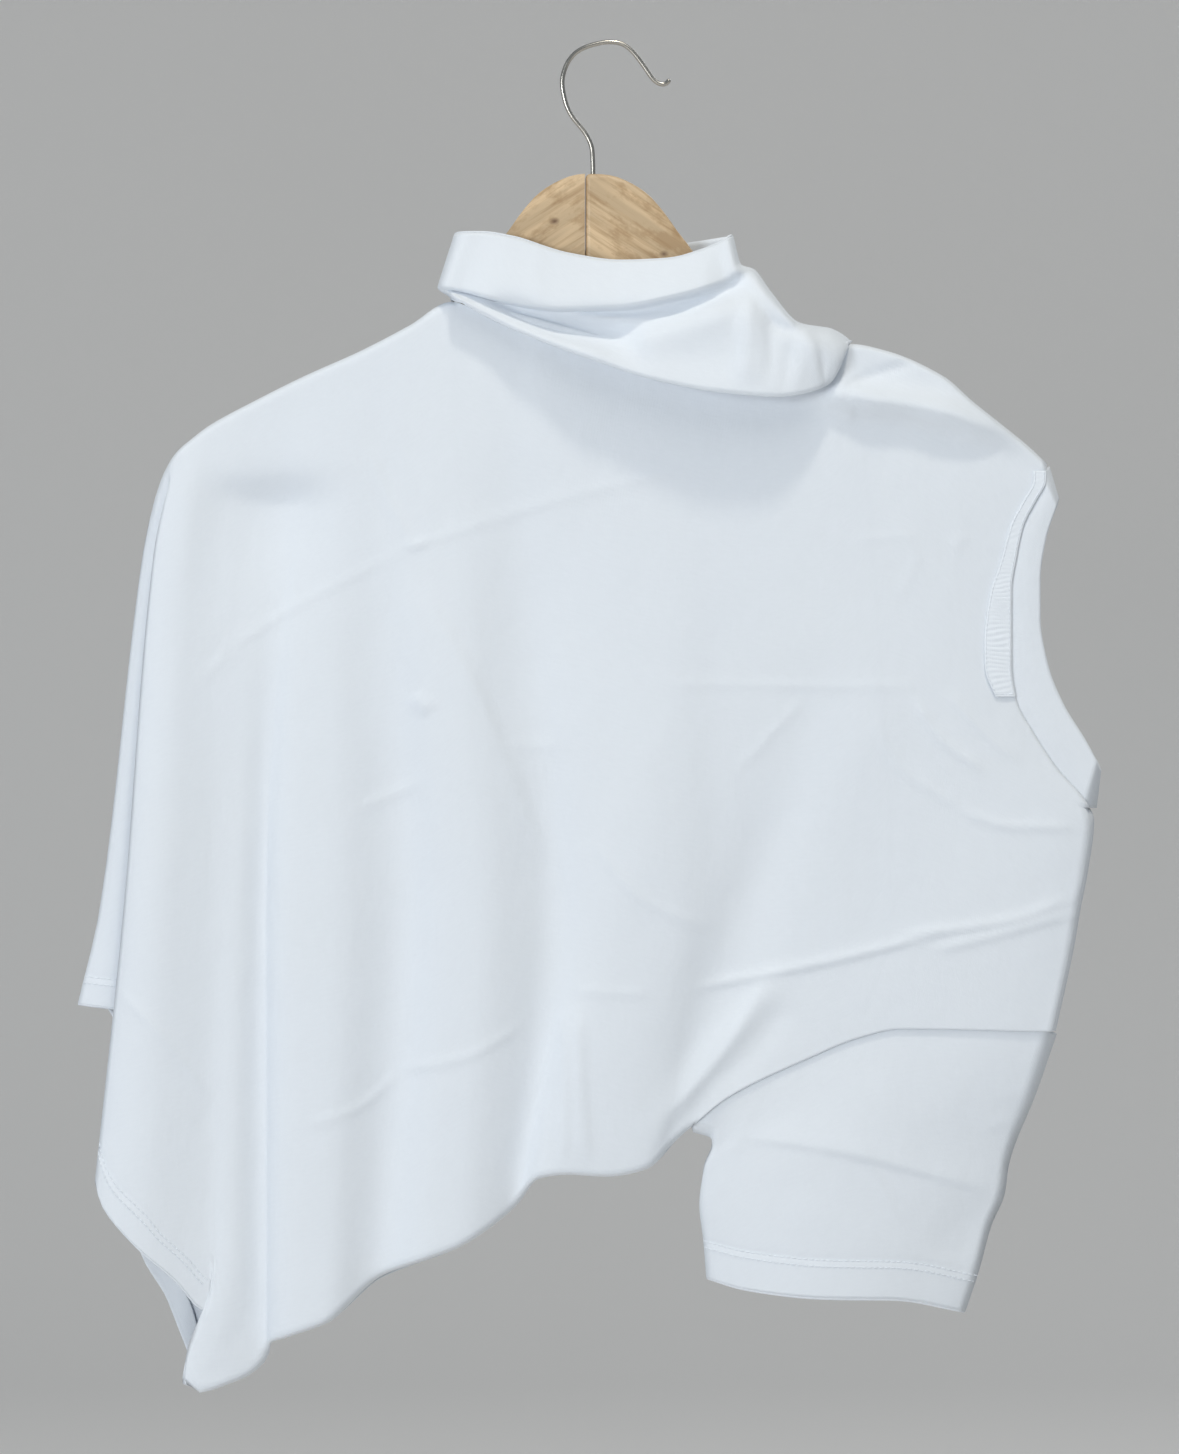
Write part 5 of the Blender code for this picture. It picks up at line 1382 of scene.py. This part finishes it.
# %% Folded allowances
CUFF_A_DEPTH = 20.0     # of the upper sleeve
FRONT_HEM_DEPTH = 1.7 * HEM_DEPTH       # deeper, because its inside shows past the back's hem
MOUTH_ROWS = 8          # rows at a sleeve's mouth that tell which way its normals point


def outward(grid, near_columns):
    """Unit normals of a closed sleeve grid, pointing out of the tube."""
    made = normals(grid, closed=True)
    sign = -np.sign(np.mean(made[:near_columns, -MOUTH_ROWS:, 1]))
    return made * sign


near_out, far_out = facing(near, -1), facing(far, 1)
upper_out, lower_out = outward(upper, upper_near), outward(lower, lower_near)
hem_pieces = {
    "back": allowance("back_hem", near[near_info["hem"]], HEM_DEPTH,
                      -near_out[near_info["hem"], -1], white_jersey),
    "front": allowance("front_hem", far[far_info["hem"]], FRONT_HEM_DEPTH,
                       -far_out[far_info["hem"], -1], white_jersey),
    "upper": allowance("upper_sleeve_hem", upper, CUFF_A_DEPTH, -upper_out[:, -1], white_jersey, True),
    "lower": allowance("lower_sleeve_hem", lower, CUFF_DEPTH, -lower_out[:, -1], white_jersey, True),
}

# %% [markdown]
# The stitches follow the line that lies one hem's depth from the edge, measured on the cloth
# itself. So they stay parallel to the hem through every fold. At the hem's lowest corner the cloth
# turns over itself and hides them.

# %% Rows of stitches
SEAM_LIFT = JERSEY_WALL / 2 + 0.12      # a stitch lies this far above the middle of the cloth
TAPE_LIFT = TAPE_WALL / 2 + 0.1         # and of the tape
NEEDLE_GAP = 3.2        # between the two needles of a hem
TAPE_STITCH_IN = 1.0    # from the tape's edge to its stitches
TAPE_PITCH = 2.4
TAPE_END_ROW = -3       # row of the tape's grid that its last seam follows
CORNER_Z = -643.0       # no stitches show where the back's hem hangs lower than this


def hem_rows(grid, away, out, depth, columns):
    """The two stitch lines of a hem, along the columns given."""
    return [contour(grid[columns], away[columns], d, out[columns], SEAM_LIFT)
            for d in (depth, depth - NEEDLE_GAP)]


def tape_rows(strip):
    """Stitches along the tape's two long edges and across its lower end."""
    up = np.array((0.0, -1.0, 0.0))
    width = np.linalg.norm(strip[-1] - strip[0], axis=1)[:, None]
    share = TAPE_STITCH_IN / width
    lines = [strip[0] * (1 - share) + strip[-1] * share, strip[-1] * (1 - share) + strip[0] * share,
             strip[:, TAPE_END_ROW]]
    return [(line + TAPE_LIFT * up, np.tile(up, (len(line), 1))) for line in lines]


near_hem = np.flatnonzero(near_info["hem"] & (near[:, -1, 2] > CORNER_Z))
far_hem = np.flatnonzero(far_info["hem"])
stitches = {
    "back": sew("back_hem_stitches", hem_rows(near, near_hem_away, near_out, HEM_DEPTH, near_hem)),
    "front": sew("front_hem_stitches", hem_rows(far, far_hem_away, far_out, HEM_DEPTH, far_hem)),
    "lower": sew("lower_sleeve_hem_stitches",
                 hem_rows(lower, lower_away, lower_out, CUFF_DEPTH, np.arange(len(lower)))),
    "tape": sew("neck_tape_stitches", tape_rows(tape_grid), pitch=TAPE_PITCH),
}

# %% [markdown]
# ## One body
#
# Every piece rides on the one body, and each main piece hides the solid of the model that it
# stands for.

# %% What each piece is
PIECES = (
    (back, "back_panel", "white_jersey"),
    (front, "front_panel", "white_jersey"),
    (sleeve_a, "upper_sleeve", "white_jersey"),
    (sleeve_b, "lower_sleeve", "white_jersey"),
    (neckband, "neck_rib", "white_rib"),
    (tape, "neck_tape", "white_rib"),
    (left_board, "hanger_left_arm", "pale_wood"),
    (right_board, "hanger_right_arm", "pale_wood"),
    (hook, "hanger_hook", "bright_steel"),
)
for piece, solid, slot in PIECES:
    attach(piece, "root")
    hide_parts(solid)
for piece in [*hem_pieces.values(), *stitches.values()]:
    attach(piece, "root")


def area(grid, closed=False):
    """Area of a grid in square metres."""
    if closed:
        grid = np.vstack((grid, grid[:1]))
    a, b, c, d = grid[:-1, :-1], grid[:-1, 1:], grid[1:, 1:], grid[1:, :-1]
    crossed = np.linalg.norm(np.cross(c - a, d - b), axis=-1)
    return crossed.sum() / 2 * MM * MM


for name, grid, closed in (("back", near, False), ("front", far, False), ("upper", upper, True),
                           ("lower", lower, True), ("rib", rib, True)):
    print(name, "area", round(area(grid, closed), 4))
